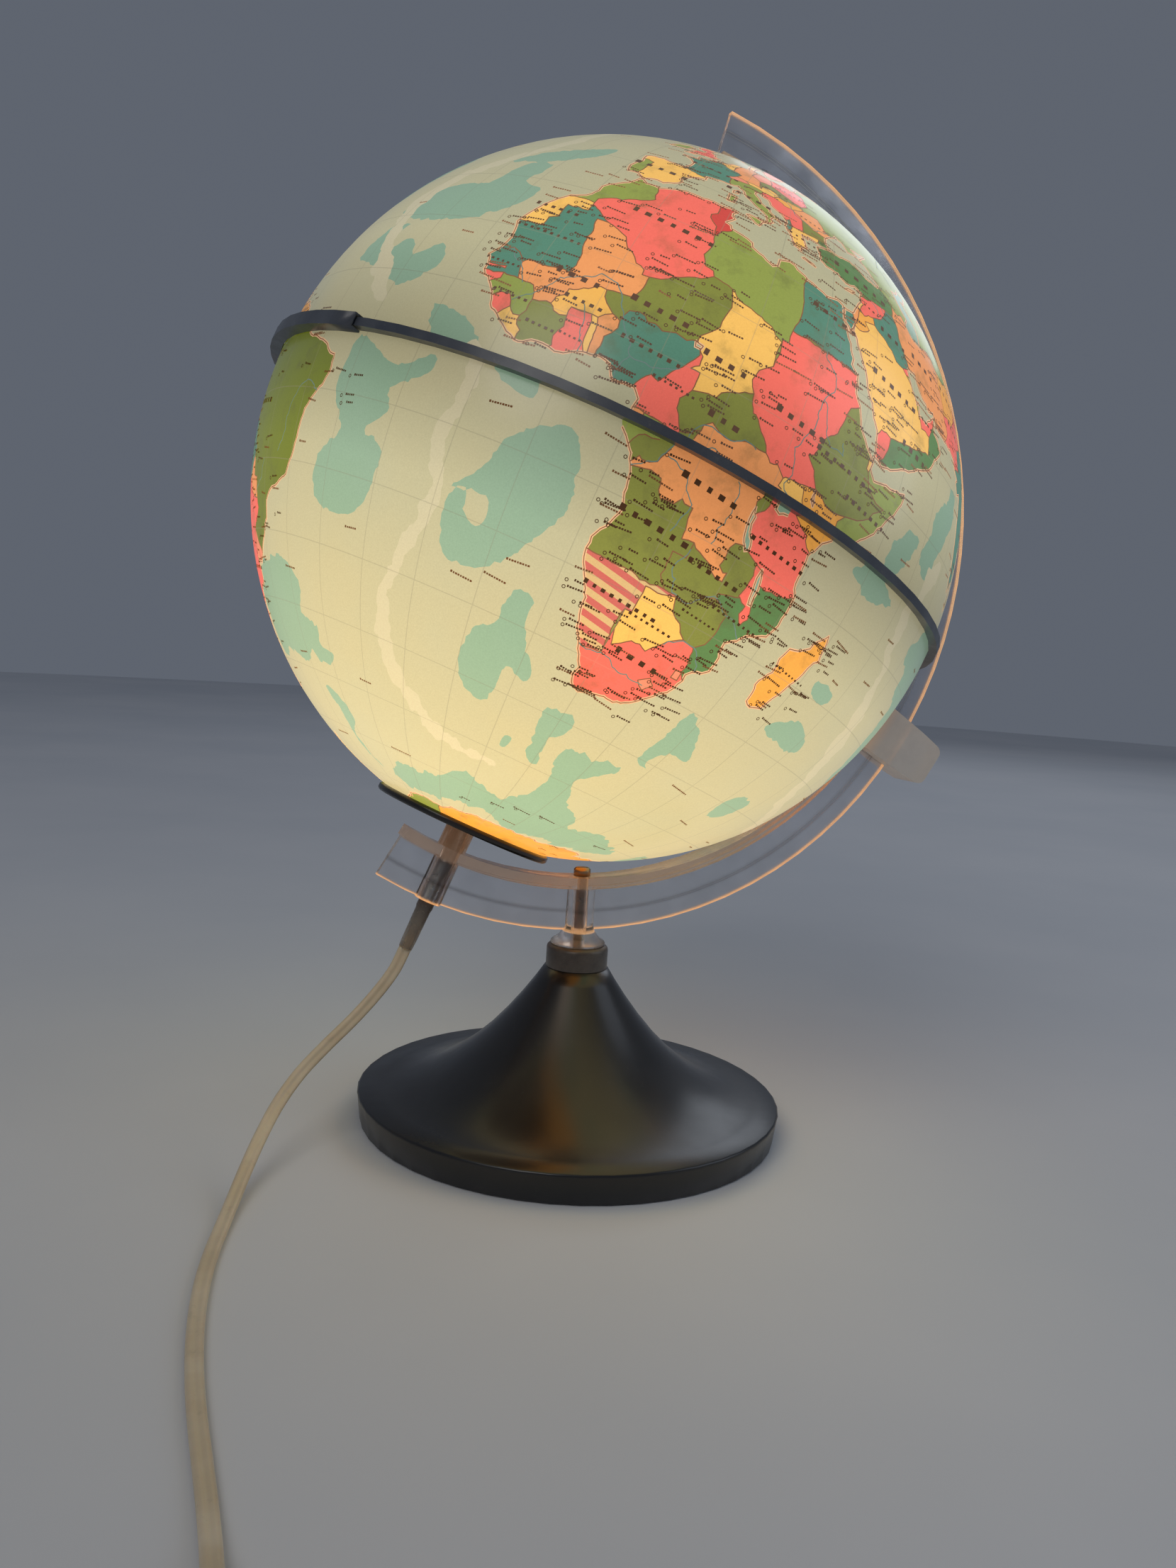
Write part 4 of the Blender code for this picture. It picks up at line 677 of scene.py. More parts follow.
COUNTRIES = """
algeria red: -2.2,35.1 -1.8,34.4 -1.7,33.3 -1.2,32.3 -3.8,30.9 -5.5,29.9 -7.1,29.6 -8.7,28.7 -8.7,27.3
 -4.8,25 1.2,21.1 1.8,20.3 3.2,19.8 3.3,19 4.3,19.1 5.8,19.5 12,23.5 11.6,24.3 10.3,24.5 9.4,26.2 9.9,28
 9.9,29 9.5,30.2 9.1,32.1 7.6,33.4 7.5,34.1 8.3,34.8 8.3,35.6 8.2,36.5 8.6,36.9 8,38.5 -2,37
tunisia crimson: 8.6,36.9 8.2,36.5 8.3,35.6 8.3,34.8 7.5,34.1 7.6,33.4 9.1,32.1 9.5,30.2 10.3,31.8 11.5,32.6
 11.5,33.2 13,34 12,38 8.6,38
egypt teal: 25,33 25,31.6 25,29.2 25,22 36.9,22 37,25 34.6,27.4 34.9,29.5 34.2,31.3 33,33
chad yellow: 15,23 24,19.5 24,15.7 22.4,14.2 22.2,13.3 22,12.6 22.9,11 21.7,10.6 19,9 18.6,8.1 16.5,7.8
 15.5,7.5 15.5,10 14.2,10 15.1,10.8 15,12.1 14.1,13.1 13.6,13.7 13.6,14.5 15.5,16.9 15.9,20.4
sudan red: 25,22 37,22 39,20 38.6,18 37,17 36.6,15.1 36.4,14.2 36.1,12.7 35.1,11.8 34.3,10.6 34.1,9.5
 33.9,8.4 33,7.9 34.6,6.6 35.3,5.4 35.9,4.6 34,4.2 31.2,3.8 30.9,3.5 29.5,4.6 28.4,4.3 27.4,5.1 26.4,6.6
 25.1,7.8 24.2,8.7 23.8,8.7 22.9,11 22,12.6 22.2,13.3 22.4,14.2 24,15.7 24,20 25,20
mali orange: -4.8,25 1.2,21.1 1.8,20.3 3.2,19.8 3.3,19 4.3,19.1 4.2,16.8 3.5,15.4 .2,15 -.7,15.1 -2,14.2
 -3.1,13.6 -4.3,13.2 -4.3,12.3 -5.3,11.6 -5.5,10.5 -6.2,10.6 -8,10.2 -8.3,11.2 -8.9,12.1 -9.8,12.1
 -11.3,12.2 -12,14 -12.2,14.8 -11.5,15.5 -5.5,15.5 -6,20.5 -6.6,25
mauritania teal: -8.7,27.3 -4.8,25 -6.6,25 -6,20.5 -5.5,15.5 -11.5,15.5 -12.2,14.8 -13.4,16.1 -14.6,16.6
 -16.5,16 -19,16 -19,21.3 -13.1,21.3 -13.1,22.9 -12,23.4 -12,26 -8.7,26
sahara yellow: -8.7,27.3 -8.7,27.7 -13.2,27.7 -16,27.5 -19,24 -19,21.3 -13.1,21.3 -13.1,22.9 -12,23.4 -12,26
 -8.7,26
senegal teal: -16.5,16 -14.6,16.6 -13.4,16.1 -12.2,14.8 -12,14 -11.4,12.4 -13.7,12.6 -16.7,12.4 -19,12.4
 -19,16
gambia red: -18,13.6 -13.9,13.6 -13.9,13.2 -18,13.1
bissau red: -18,12.4 -16.7,12.4 -13.7,12.6 -13.7,11.7 -15,10.9 -17,10.6
leone red: -14,9 -12.5,9.9 -11.2,10 -10.6,9.1 -10.3,8.4 -11.5,6.9 -13.5,6.8
liberia yellow: -11.5,6.9 -10.3,8.4 -9.4,7.5 -8.5,7.6 -8.3,6.4 -7.5,5.8 -7.5,4.2 -9.2,4.2 -12.5,6.3
guinea green: -13.7,12.6 -11.4,12.4 -8.9,12.1 -8.3,11.2 -8,10.2 -8,8.5 -8.5,7.6 -9.4,7.5 -10.3,8.4 -10.6,9.1
 -11.2,10 -12.5,9.9 -14.5,8.8 -15.5,10.6 -15,10.9 -13.7,11.7
ivory grass: -8,10.2 -6.2,10.6 -5.5,10.5 -4.7,9.7 -2.8,9.7 -2.5,8.2 -3.2,6.6 -2.8,5.4 -3.1,5.1 -3.1,3.5
 -7.5,3.5 -7.5,5.8 -8.3,6.4 -8.5,7.6 -8,8.5
volta sand: .2,15 -.7,15.1 -2,14.2 -3.1,13.6 -4.3,13.2 -4.3,12.3 -5.3,11.6 -5.5,10.5 -4.7,9.7 -2.8,9.7
 -2.8,11 .9,11 2.4,12.2 2.2,12.4 1,13.3 .4,14
ghana red: -2.8,11 0,11.1 .4,10.2 .5,8.6 .7,7 1.2,6.1 1.3,4 -3.1,4 -3.1,5.1 -2.8,5.4 -3.2,6.6 -2.5,8.2
 -2.8,9.7
togo yellow: 0,11.1 .9,11 1.4,9.3 1.6,6.9 1.7,6.2 1.7,4 1.3,4 1.2,6.1 .7,7 .5,8.6 .4,10.2
dahomey orange: .9,11 2.4,12.2 3.6,11.7 3.8,10.7 2.7,9 2.7,6.3 2.6,4 1.7,4 1.7,6.2 1.6,6.9 1.4,9.3
nigeria teal: 2.7,4 2.7,6.3 2.7,9 3.8,10.7 3.6,11.7 4.1,13.5 5.4,13.9 6.8,13.1 7.8,13.3 9,12.8 10.7,13.4
 12.3,13.1 13.6,13.7 14.1,13.1 14.6,12.1 14.2,11.3 13.2,9.6 12.2,8.4 11.2,6.6 10.1,7 9.2,6 8.6,4.7 8,3
cameroon red: 8.6,4.7 9.2,6 10.1,7 11.2,6.6 12.2,8.4 13.2,9.6 14.2,11.3 14.6,12.1 14.1,13.1 15,12.1
 15.1,10.8 14.2,10 15.5,10 15.5,7.5 14.5,5.9 14.7,4.6 15.2,4 16.2,2.2 16.1,1.7 13.3,2.2 9.8,2.3 8,2.3
car grass: 15.5,7.5 16.5,7.8 18.6,8.1 19,9 21.7,10.6 22.9,11 23.8,8.7 24.2,8.7 25.1,7.8 26.4,6.6 27.4,5.1
 25.3,5.1 24.5,5.1 23.4,4.6 22.4,4.2 20.9,4.4 19.5,5.1 18.6,4.3 18.6,3.5 16.2,2.2 15.2,4 14.7,4.6 14.5,5.9
muni orange: 8,2.3 11.3,2.3 11.3,1 8,1
gabon green: 11.3,2.3 13.3,2.2 13.3,1.3 14.4,1.2 14,-.4 14.5,-.6 14.4,-1.8 12.5,-2 11.8,-2.4 11.1,-3.9 9,-4
 7,0 8,1 11.3,1
congo grass: 13.3,2.2 16.1,1.7 16.2,2.2 18.6,3.5 18.2,2.2 17.8,.5 17.8,-.4 16.5,-1.2 16.2,-2.2 15.3,-4.3
 14.4,-4.8 13.4,-4.9 13,-4.6 12.2,-5.7 11,-5.8 11.1,-3.9 11.8,-2.4 12.5,-2 14.4,-1.8 14.5,-.6 14,-.4
 14.4,1.2 13.3,1.3
zaire orange: 11.5,-5.8 12.2,-5.7 13,-4.6 13.4,-4.9 14.4,-4.8 15.3,-4.3 16.2,-2.2 16.5,-1.2 17.8,-.4 17.8,.5
 18.2,2.2 18.6,3.5 18.6,4.3 19.5,5.1 20.9,4.4 22.4,4.2 23.4,4.6 24.5,5.1 25.3,5.1 27.4,5.1 28.4,4.3 29.5,4.6
 30.9,3.5 30.7,2.4 31.3,2.2 29.9,.6 29.6,-1.4 29,-2.7 29.2,-3.4 29.3,-4.4 29.4,-5.9 30.7,-8.2 28.9,-8.5
 28.5,-9.3 28.6,-10.7 28.4,-11.8 29.3,-12.4 29.8,-12.2 29.8,-13.4 28.7,-13.4 27.2,-12.3 26,-11.9 24.5,-11.4
 24,-10.9 22.3,-11.2 22.2,-10 21.8,-7.3 20.6,-7.3 20.1,-6.9 19.4,-7.9 17.6,-8.1 16.9,-7.2 16.6,-5.9
 13.4,-5.9 12.4,-6.1 11.5,-6.1
uganda yellow: 29.6,-1.4 29.9,.6 31.3,2.2 30.7,2.4 30.9,3.5 31.2,3.8 34,4.2 35,1.9 33.9,.1 33.9,-1 30.8,-1
rwanda grass: 29.6,-1.4 30.8,-1 30.8,-2.4 30.5,-3.2 29.3,-4.4 29.2,-3.4 29,-2.7
kenya gold: 34,4.2 35.9,4.6 36.9,4.4 38.1,3.6 39.5,3.4 41.9,3.9 41,2.8 41,-.9 41.6,-1.7 43,-2 41,-5
 39.2,-4.7 37.7,-3.6 37.6,-3 33.9,-1 33.9,.1 35,1.9
tanzania red: 30.8,-1 33.9,-1 37.6,-3 37.7,-3.6 39.2,-4.7 42,-5 42,-10.5 40.4,-10.5 39,-11.2 37.8,-11.5
 36,-11.7 34.6,-11.5 34.3,-9.8 32.9,-9.4 31,-8.6 30.7,-8.2 29.4,-5.9 29.3,-4.4 30.5,-3.2 30.8,-2.4
ethiopia grass: 38.6,18 37,17 36.6,15.1 36.4,14.2 36.1,12.7 35.1,11.8 34.3,10.6 34.1,9.5 33.9,8.4 33,7.9
 34.6,6.6 35.3,5.4 35.9,4.6 36.9,4.4 38.1,3.6 39.5,3.4 41.9,3.9 43,4.2 45,5 48,8 47,8 44,9 43,10.9 42.5,11.2
 42.5,12.5 44,13 40,18
somalia green: 41.9,3.9 43,4.2 45,5 48,8 47,8 44,9 43,10.9 43.2,11.5 46,13 53,13 52,8 44,-2 41.6,-1.7 41,-.9
 41,2.8
djibouti yellow: 43.2,11.5 43,10.9 42.5,11.2 42.5,12.5 43.3,12.6 44,11.8
angola grass: 11.5,-6.1 12.4,-6.1 13.4,-5.9 16.6,-5.9 16.9,-7.2 17.6,-8.1 19.4,-7.9 20.1,-6.9 20.6,-7.3
 21.8,-7.3 22.2,-10 22.3,-11.2 24,-10.9 24,-13 22,-13 22,-16.2 23.4,-17.6 21.4,-17.9 18.4,-17.4 13.9,-17.4
 11.5,-17.3 9,-12
zambia grass: 24,-10.9 24.5,-11.4 26,-11.9 27.2,-12.3 28.7,-13.4 29.8,-13.4 29.8,-12.2 29.3,-12.4 28.4,-11.8
 28.6,-10.7 28.5,-9.3 28.9,-8.5 30.7,-8.2 31,-8.6 32.9,-9.4 33.3,-10.8 33.2,-12.5 32.9,-13.9 33.2,-14
 30.2,-14.9 30.4,-15.6 28.9,-15.9 27,-17.9 25.3,-17.8 25,-17.6 23.4,-17.6 22,-16.2 22,-13 24,-13
rhodesia grass: 25.3,-17.8 27,-17.9 28.9,-15.9 30.4,-15.6 31.2,-16 32.9,-16.7 32.9,-19.5 32.5,-21.3
 31.3,-22.4 29.4,-22.1 27.7,-20.5 26,-19.6
mozambique moss: 40.4,-10.5 39,-11.2 37.8,-11.5 36,-11.7 34.6,-11.5 34.4,-12.3 35.3,-14.3 35.9,-15.9
 35.3,-17.1 34.3,-15.8 34.5,-14.6 33.2,-14 30.2,-14.9 30.4,-15.6 31.2,-16 32.9,-16.7 32.9,-19.5 32.5,-21.3
 31.3,-22.4 32,-24.5 31.9,-25.9 32.9,-26.9 34,-27 42,-18 42,-10
malawi red: 32.9,-9.4 34.3,-9.8 34.6,-11.5 34.4,-12.3 35.3,-14.3 35.9,-15.9 35.3,-17.1 34.3,-15.8 34.5,-14.6
 33.2,-14 32.9,-13.9 33.2,-12.5 33.3,-10.8
niger grass: 4.3,19.1 5.8,19.5 12,23.5 15,23 15.9,20.4 15.5,16.9 13.6,14.5 13.6,13.7 12.3,13.1 10.7,13.4
 9,12.8 7.8,13.3 6.8,13.1 5.4,13.9 4.1,13.5 3.6,11.7 2.4,12.2 1,13.3 .4,14 .2,15 3.5,15.4 4.2,16.8
southwest stripes: 11.5,-17.3 13.9,-17.4 18.4,-17.4 21.4,-17.9 23.4,-17.6 25,-17.6 25.3,-17.8 23.5,-18.3
 21,-18.3 21,-22 20,-22 20,-28.4 17.5,-28.7 16.5,-28.6 13,-28.6 10,-20
botswana yellow: 21,-18.3 23.5,-18.3 25.3,-17.8 26,-19.6 27.7,-20.5 29.4,-22.1 27.5,-23.3 26.5,-24.5
 25.5,-25.7 23,-25.3 20.7,-26.9 20,-24.8 20,-22 21,-22
cape red: 16.5,-28.6 17.5,-28.7 20,-28.4 20,-24.8 20.7,-26.9 23,-25.3 25.5,-25.7 26.5,-24.5 27.5,-23.3
 29.4,-22.1 31.3,-22.4 32,-24.5 31.9,-25.9 32.9,-26.9 35,-27 33,-36 15,-36 14,-29
lesotho rose: 27,-29.6 28.5,-28.6 29.5,-29.4 28.4,-30.6
ngwane rose: 31,-26 32,-26 32.1,-27.2 31,-27.2
madagascar gold: 42,-11 52,-11 52,-27 42,-27
spain yellow: -1.8,43.2 .7,42.8 3.2,42.4 4,42 0,37 -2,36 -7.4,36.5 -7.4,37.2 -7,38.2 -7,39.7 -6.8,41.5
 -8.2,42 -8.9,41.9 -11,42 -9,44.5
portugal green: -8.9,41.9 -8.2,42 -6.8,41.5 -7,39.7 -7,38.2 -7.4,37.2 -7.4,36.5 -10,36.5 -10,42
france teal: -1.8,43.2 .7,42.8 3.2,42.4 5,42.5 7.5,43.7 7,44.5 6.9,46 6.1,46.3 7.5,47.6 8.1,49 6.2,49.5
 4.2,50 2.5,51.1 0,51 -6,49 -4,44
corsica teal: 8,41.3 10,41.3 10,43.2 8,43.2
italy green: 7.5,43.7 7,44.5 6.9,46 8.5,46.3 10.5,46.8 12.3,46.8 13.7,46.5 13.7,45.6 12.5,44.5 14.5,43
 20,40.3 18,38 15,36 12,37 8,38.5 8,41.2 10,41.2 9,43.6
swiss rose: 6.1,46.3 6.9,46 8.5,46.3 10.5,46.8 9.5,47.5 7.5,47.6
germany_west orange: 7.5,47.6 9.5,47.5 13,47.5 12.2,50.3 10,51.5 10.8,54 9,54.9 7,53.8 6,51.8 6.2,49.5
 8.1,49
benelux yellow: 2.5,51.1 4.2,50 6.2,49.5 6,51.8 7,53.8 4,53
germany_east rose: 12.2,50.3 10,51.5 10.8,54 14.2,54.2 14.8,51
denmark yellow: 8,54.9 9,54.9 10.8,54 12.5,56 10.6,58 8,57.5
austria yellow: 9.5,47.5 10.5,46.8 12.3,46.8 13.7,46.5 16,46.7 17,48 15,49 13,48.5 13,47.5
czech grass: 12.2,50.3 14.8,51 18.9,49.6 22.5,49.1 22,48.4 18,47.8 17,48 15,49 13,48.5
poland red: 14.2,54.2 14.8,51 18.9,49.6 22.5,49.1 24,50.8 23.5,52.5 23,54.3 19.5,55
hungary gold: 16,46.7 17,48 18,47.8 22,48.4 22.8,47.9 20.3,46.1 18.5,45.8
yugoslavia red: 13.7,46.5 16,46.7 18.5,45.8 20.3,46.1 22.5,44.6 22.9,42.2 22.9,41.3 20.7,41 20,42.5
 19.4,41.8 15,43 13,45
albania teal: 19.4,41.8 20,42.5 20.7,41 20.5,39.8 19,39.6
romania orange: 20.3,46.1 22.8,47.9 26.5,48.2 28.2,45.5 30,45.2 28.6,43.7 25,43.7 22.5,44.6
bulgaria grass: 22.5,44.6 25,43.7 28.6,43.7 28,42 26.4,41.8 24.5,41.5 22.9,41.3 22.9,42.2
greece yellow: 20.7,41 22.9,41.3 24.5,41.5 26.4,41.8 26.4,40.6 28.5,36 24,34.5 19,38.5 20.5,39.8
crete yellow: 23,34.6 27,34.6 27,35.7 23,35.7
turkey moss: 26.4,41.8 28,42.1 36,42.5 41.5,41.5 43.5,41 44.8,39.7 44.4,37.3 42.3,37.2 38.5,36.7 36.3,35.9
 35,36 27,35.8 26,40.6
syria red: 36.3,35.9 38.5,36.7 42.3,37.2 41,34.5 38.8,33.4 36.8,32.4 35.8,33 35.9,34.6 35.5,35.5
lebanon yellow: 35,33.1 35.8,33 36.5,34.4 35.9,34.7 35.5,34.7
israel orange: 34.2,31.3 34.9,29.5 35.5,31.5 35.6,33 35,33.3 34,32
jordan gold: 34.9,29.5 35.5,31.5 35.6,32.6 36.8,32.4 38.8,33.4 39.2,32.2 37,31.5 38,30.5 36,29.2
iraq teal: 42.3,37.2 44.4,37.3 45.5,35.9 45.7,34 47.8,31 48.6,29.9 46.5,29.1 44.7,29.2 42,31.1 39.2,32.2
 38.8,33.4 41,34.5
kuwait red: 46.5,29.1 48.6,30 48.6,28.5 47.5,28.5
iran orange: 44.4,37.3 44.8,39.7 46.5,38.9 48,39.7 49,38.4 54,37.3 57,38.2 61,36.6 60.5,34 61.8,31 61.6,29.5
 63.2,27.2 61.6,25.2 58,24.8 51,27.5 48.6,29.9 47.8,31 45.7,34 45.5,35.9
afghan gold: 61,36.6 60.5,34 61.8,31 61.6,29.5 66.3,29.8 69.3,31.9 71,34 74.9,37.2 71,38 67,37.3 64,36
pakistan red: 61.6,25.2 63.2,27.2 61.6,29.5 66.3,29.8 69.3,31.9 71,34 74.5,37 76.5,35.5 74.5,33 74.5,31
 72.5,28.5 70,27.7 71,24.5 68.5,23.5 66,24
arabia yellow: 34.9,29.5 36,29.2 38,30.5 37,31.5 39.2,32.2 42,31.1 44.7,29.2 46.5,29.1 47.5,28.5 50,27 51,25
 51.5,24.3 52.6,22.7 55.2,22.7 55.5,20 52,19 48,18 45.5,17.3 43.3,17.4 42.7,16.4 41,17 34,28
yemen red: 42.7,16.4 43.3,17.4 45.5,17.3 45.5,15.5 45,14 43.5,12.6 42,14
gulf red: 51.5,24.3 52.6,22.7 55.2,22.7 56.3,24.8 56.5,26.6 53,25
oman moss: 55.5,20 55.2,22.7 56.3,24.8 57,26.8 61,23 57,17 53,15.5 45,12 43.5,12.6 45,14 45.5,15.5 45.5,17.3
 48,18 52,19
russia green: 28,71.5 33,69 30,65 31,62.5 28,60.5 24,59.8 21,57.6 20.5,55.3 23,54.3 23.5,52.5 24,50.8
 22.5,49.1 22.8,47.9 26.5,48.2 28.2,45.5 30,45.2 36,43.5 41.5,41.5 43.5,41 44.8,39.7 46.5,38.9 48,39.7
 49,38.4 54,37.3 57,38.2 61,36.6 64,36 67,37.3 71,38 74.9,37.2 74,40 80,42.5 82.5,45.5 87.5,49.2 92,50.7
 98,50.5 102,51.3 107,49.8 116.5,49.8 120,53 127,50 131,47.7 135,48.4 131,44.8 130.7,42.3 135,42 150,44
 165,50 195,62 195,70 140,75 100,80 60,78 40,71
finland yellow: 21,69 28,70 30,68 29.5,65 31.3,62.5 28,60.3 22,59.5 21,63 24.3,65.8
sweden rose: 11.5,59 12.3,61 12,63.5 15,67 20.3,69 24.2,65.8 20,62 19,59 14,54.5 12,56
norway moss: 3,58 11.3,58.8 12.3,61 12,63.5 15,67 20.3,69 28,69.5 32,71 20,72 3,63
britain red: -7,49 2,50 2,53 -1,60 -8,59
ireland green: -11,51 -5.9,51 -5.3,55.5 -11,55.5
iceland teal: -26,63 -12,63 -12,67 -26,67
china yellow: 74,40 80,42.5 82.5,45.5 87.5,49.2 91,46.5 97,42.7 105,41.6 111.5,44 116,46.5 120,46.8
 116.5,49.8 120,53 127,50 131,47.7 135,48.4 131,44.8 130.7,42.3 126,41.7 124,40 122,38 125,30 120,24 112,20
 108,21.4 102,22.3 98.5,24 97.5,28 92,27.8 86,28 81,30.5 78.5,33 76.5,35.5 74.9,37.2
mongolia orange: 87.5,49.2 92,50.7 98,50.5 102,51.3 107,49.8 116.5,49.8 120,46.8 116,46.5 111.5,44 105,41.6
 97,42.7 91,46.5
india teal: 76.5,35.5 78.5,33 81,30.5 86,28 92,27.8 97.5,28 94.5,24.5 92.3,22 92,24.5 88.5,26 88.8,22 83,16
 81,7 76,7 70,20 68,23.7 71,24.5 70,27.7 72.5,28.5 74.5,31 74.5,33
nepal gold: 81,30.5 86,28 88.2,27.8 88,26.4 84,27.4 80.2,28.7
bengal red: 88.8,22 88.5,26 92,24.5 92.3,22 91.5,21.5
burma grass: 97.5,28 98.5,24 101,21.5 98,19.5 98.5,16 98.7,10.5 95,15 92,21 92.3,22 94.5,24.5
siam orange: 101,21.5 98,19.5 98.5,16 98.7,10.5 98,7 100.5,6 102.5,6 100.5,13 102.5,12 103,14 105.5,14.5
 104.5,17.5 101.5,18
indochina red: 101,21.5 102,22.3 108,21.4 110,17 110,11 105,8 102.5,12 103,14 105.5,14.5 104.5,17.5 101.5,18
malaya gold: 100.5,6 102.5,6 105,1 100,2
korea teal: 124,40 126,41.7 130.7,42.3 130,34 125,34
japan red: 129,30 133,32 146,42 146,46 139,45 138,38 130,35
philippines orange: 117,5 127,5 127,19 119,19
indonesia gold: 94,6 100,2 105,1 108,0 109.7,2 115,1 117.5,4 127,3 141,0 141,-10 104,-10
borneo_north red: 109.7,2 115,1 117.5,4 120,7 115,8 109,3
papua grass: 141,0 152,-3 152,-12 141,-10
australia orange: 110,-10 155,-10 155,-45 110,-45
zealand red: 165,-33 180,-33 180,-48 165,-48
greenland cream: -80,77 -60,84 -10,84 -20,65 -44,58 -56,66 -58,74
alaska gold: -141,72 -141,60.3 -137,58.8 -130,55.5 -132,53 -170,50 -170,72
canada rose: -141,72 -141,60.3 -137,58.8 -130,55.5 -133,50 -123,49 -95,49 -89,48 -84.5,46.5 -82.5,45
 -82.5,42.3 -79,43 -75,45 -71,45 -69,47.3 -67,45 -62,42 -50,46 -60,65 -60,84 -95,84 -130,74
states yellow: -130,49 -123,49 -95,49 -89,48 -84.5,46.5 -82.5,45 -82.5,42.3 -79,43 -75,45 -71,45 -69,47.3
 -67,45 -65,42 -78,24 -97,25.9 -99.5,27.5 -101.5,29.8 -103,29 -106.5,31.8 -111,31.3 -114.8,32.5 -117.2,32.6
 -125,33
mexico grass: -97,25.9 -99.5,27.5 -101.5,29.8 -103,29 -106.5,31.8 -111,31.3 -114.8,32.5 -117.2,32.6 -120,25
 -93,14 -92,14.5 -92,16 -91,17.8 -89,17.8 -86,22 -95,24
isthmus orange: -92,14.5 -92,16 -91,17.8 -89,17.8 -87,17 -82,15 -77.3,8.6 -77.9,7 -86,7
cuba red: -86,19 -74,19.5 -74,24 -86,24
colombia orange: -77.3,8.6 -77.9,7 -79,1.4 -75,-.2 -70,-4.2 -69.5,1 -67,1.2 -67.5,6 -72.5,7.5 -72.5,11
 -71.3,11.8 -72,13 -77,11
venezuela red: -71.3,11.8 -72.5,11 -72.5,7.5 -67.5,6 -67,1.2 -64,1.5 -64.3,4 -60.2,5 -60,8.5 -60,12 -72,13
guianas gold: -60,8.5 -60.2,5 -60,4 -58,1.5 -54.5,2.2 -51.6,4.2 -50,6 -58,9
ecuador green: -79,1.4 -75,-.2 -78,-4.5 -80.3,-3.5 -83,-3 -82,1
peru yellow: -75,-.2 -70,-4.2 -73.5,-6 -73.7,-9.5 -70.6,-11 -69,-12.5 -69,-17 -70.3,-18.3 -73,-19 -83,-6
 -80.3,-3.5 -78,-4.5
bolivia teal: -69,-12.5 -65.4,-10 -65.3,-12 -60.2,-14 -60,-16.3 -57.8,-18 -59,-19.3 -62.5,-22.3 -66,-22
 -68,-23 -69,-17
paraguay orange: -62.5,-22.3 -59,-19.3 -58,-20 -57.8,-22.1 -55.5,-22.5 -54.6,-25.6 -58,-27
chile gold: -70.3,-18.3 -69,-17 -68,-23 -68.5,-26 -70,-33 -71.5,-43 -72,-50 -68.5,-52.4 -68.5,-56 -78,-52
 -74,-20
argentina red: -66,-22 -62.5,-22.3 -58,-25 -54.6,-25.6 -53.7,-27 -57.6,-30.2 -58.3,-34 -54,-37 -60,-56
 -68.5,-56 -68.5,-52.4 -72,-50 -71.5,-43 -70,-33 -68.5,-26 -68,-23
uruguay rose: -57.6,-30.2 -53.4,-33.7 -52,-36 -58.3,-35
brazil forest: -51.6,4.2 -54.5,2.2 -58,1.5 -60,4 -60.2,5 -64.3,4 -64,1.5 -67,1.2 -69.5,1 -70,-4.2 -73.5,-6
 -73.7,-9.5 -70.6,-11 -65.4,-10 -65.3,-12 -60.2,-14 -60,-16.3 -57.8,-18 -59,-19.3 -58,-20 -57.8,-22.1
 -55.5,-22.5 -54.6,-25.6 -53.7,-27 -57.6,-30.2 -53.4,-33.7 -45,-34 -30,-20 -30,0 -45,6
antarctic_east gold: 0,-60 20,-60 90,-60 160,-60 160,-89.5 60,-89.5 20,-89.5 0,-89.5
"""
LAKES = """
victoria: 31.8,-.9 32.5,.3 34,.2 34.2,-.6 33.7,-2.2 32.5,-2.6 31.8,-2.3
tanganyika: 29.2,-3.4 29.7,-4.5 29.9,-6.3 31,-8.4 30.5,-8.7 29.4,-6.8 29.1,-5
malawi: 34,-9.6 34.5,-10.6 34.9,-12 35.2,-14.2 34.7,-14.2 34.3,-12.5 33.9,-10.8
turkana: 36,4.4 36.4,3 36.5,2.5 36,3
chad: 13.4,13.6 14.5,13.4 14.4,12.9 13.6,12.9
caspian: 47,44.5 50.5,46.8 53,46.5 51.5,44.5 50.3,44.3 52.5,42.5 53.8,40.5 53.8,37 50.5,37.2 49,38.5
 50.2,40.4 48,42.5
aral: 58.5,45 61,46.5 61,44.5 59,43.7
baikal: 104,51.7 107,53 110,55.7 108.5,53.5 105.5,51.6
great: -92,46.7 -88,48.7 -85,47.5 -84,46 -80,45.5 -82,43 -79,43.5 -76.5,44 -79,43 -83,41.5 -83.5,44 -86,45.5
 -86.3,42.5 -87.8,42 -87.5,45
bear: -125,66 -120,67 -118,65.5 -122,65
winnipeg: -99,53.5 -97,53.5 -96.5,50.7 -98,51
"""
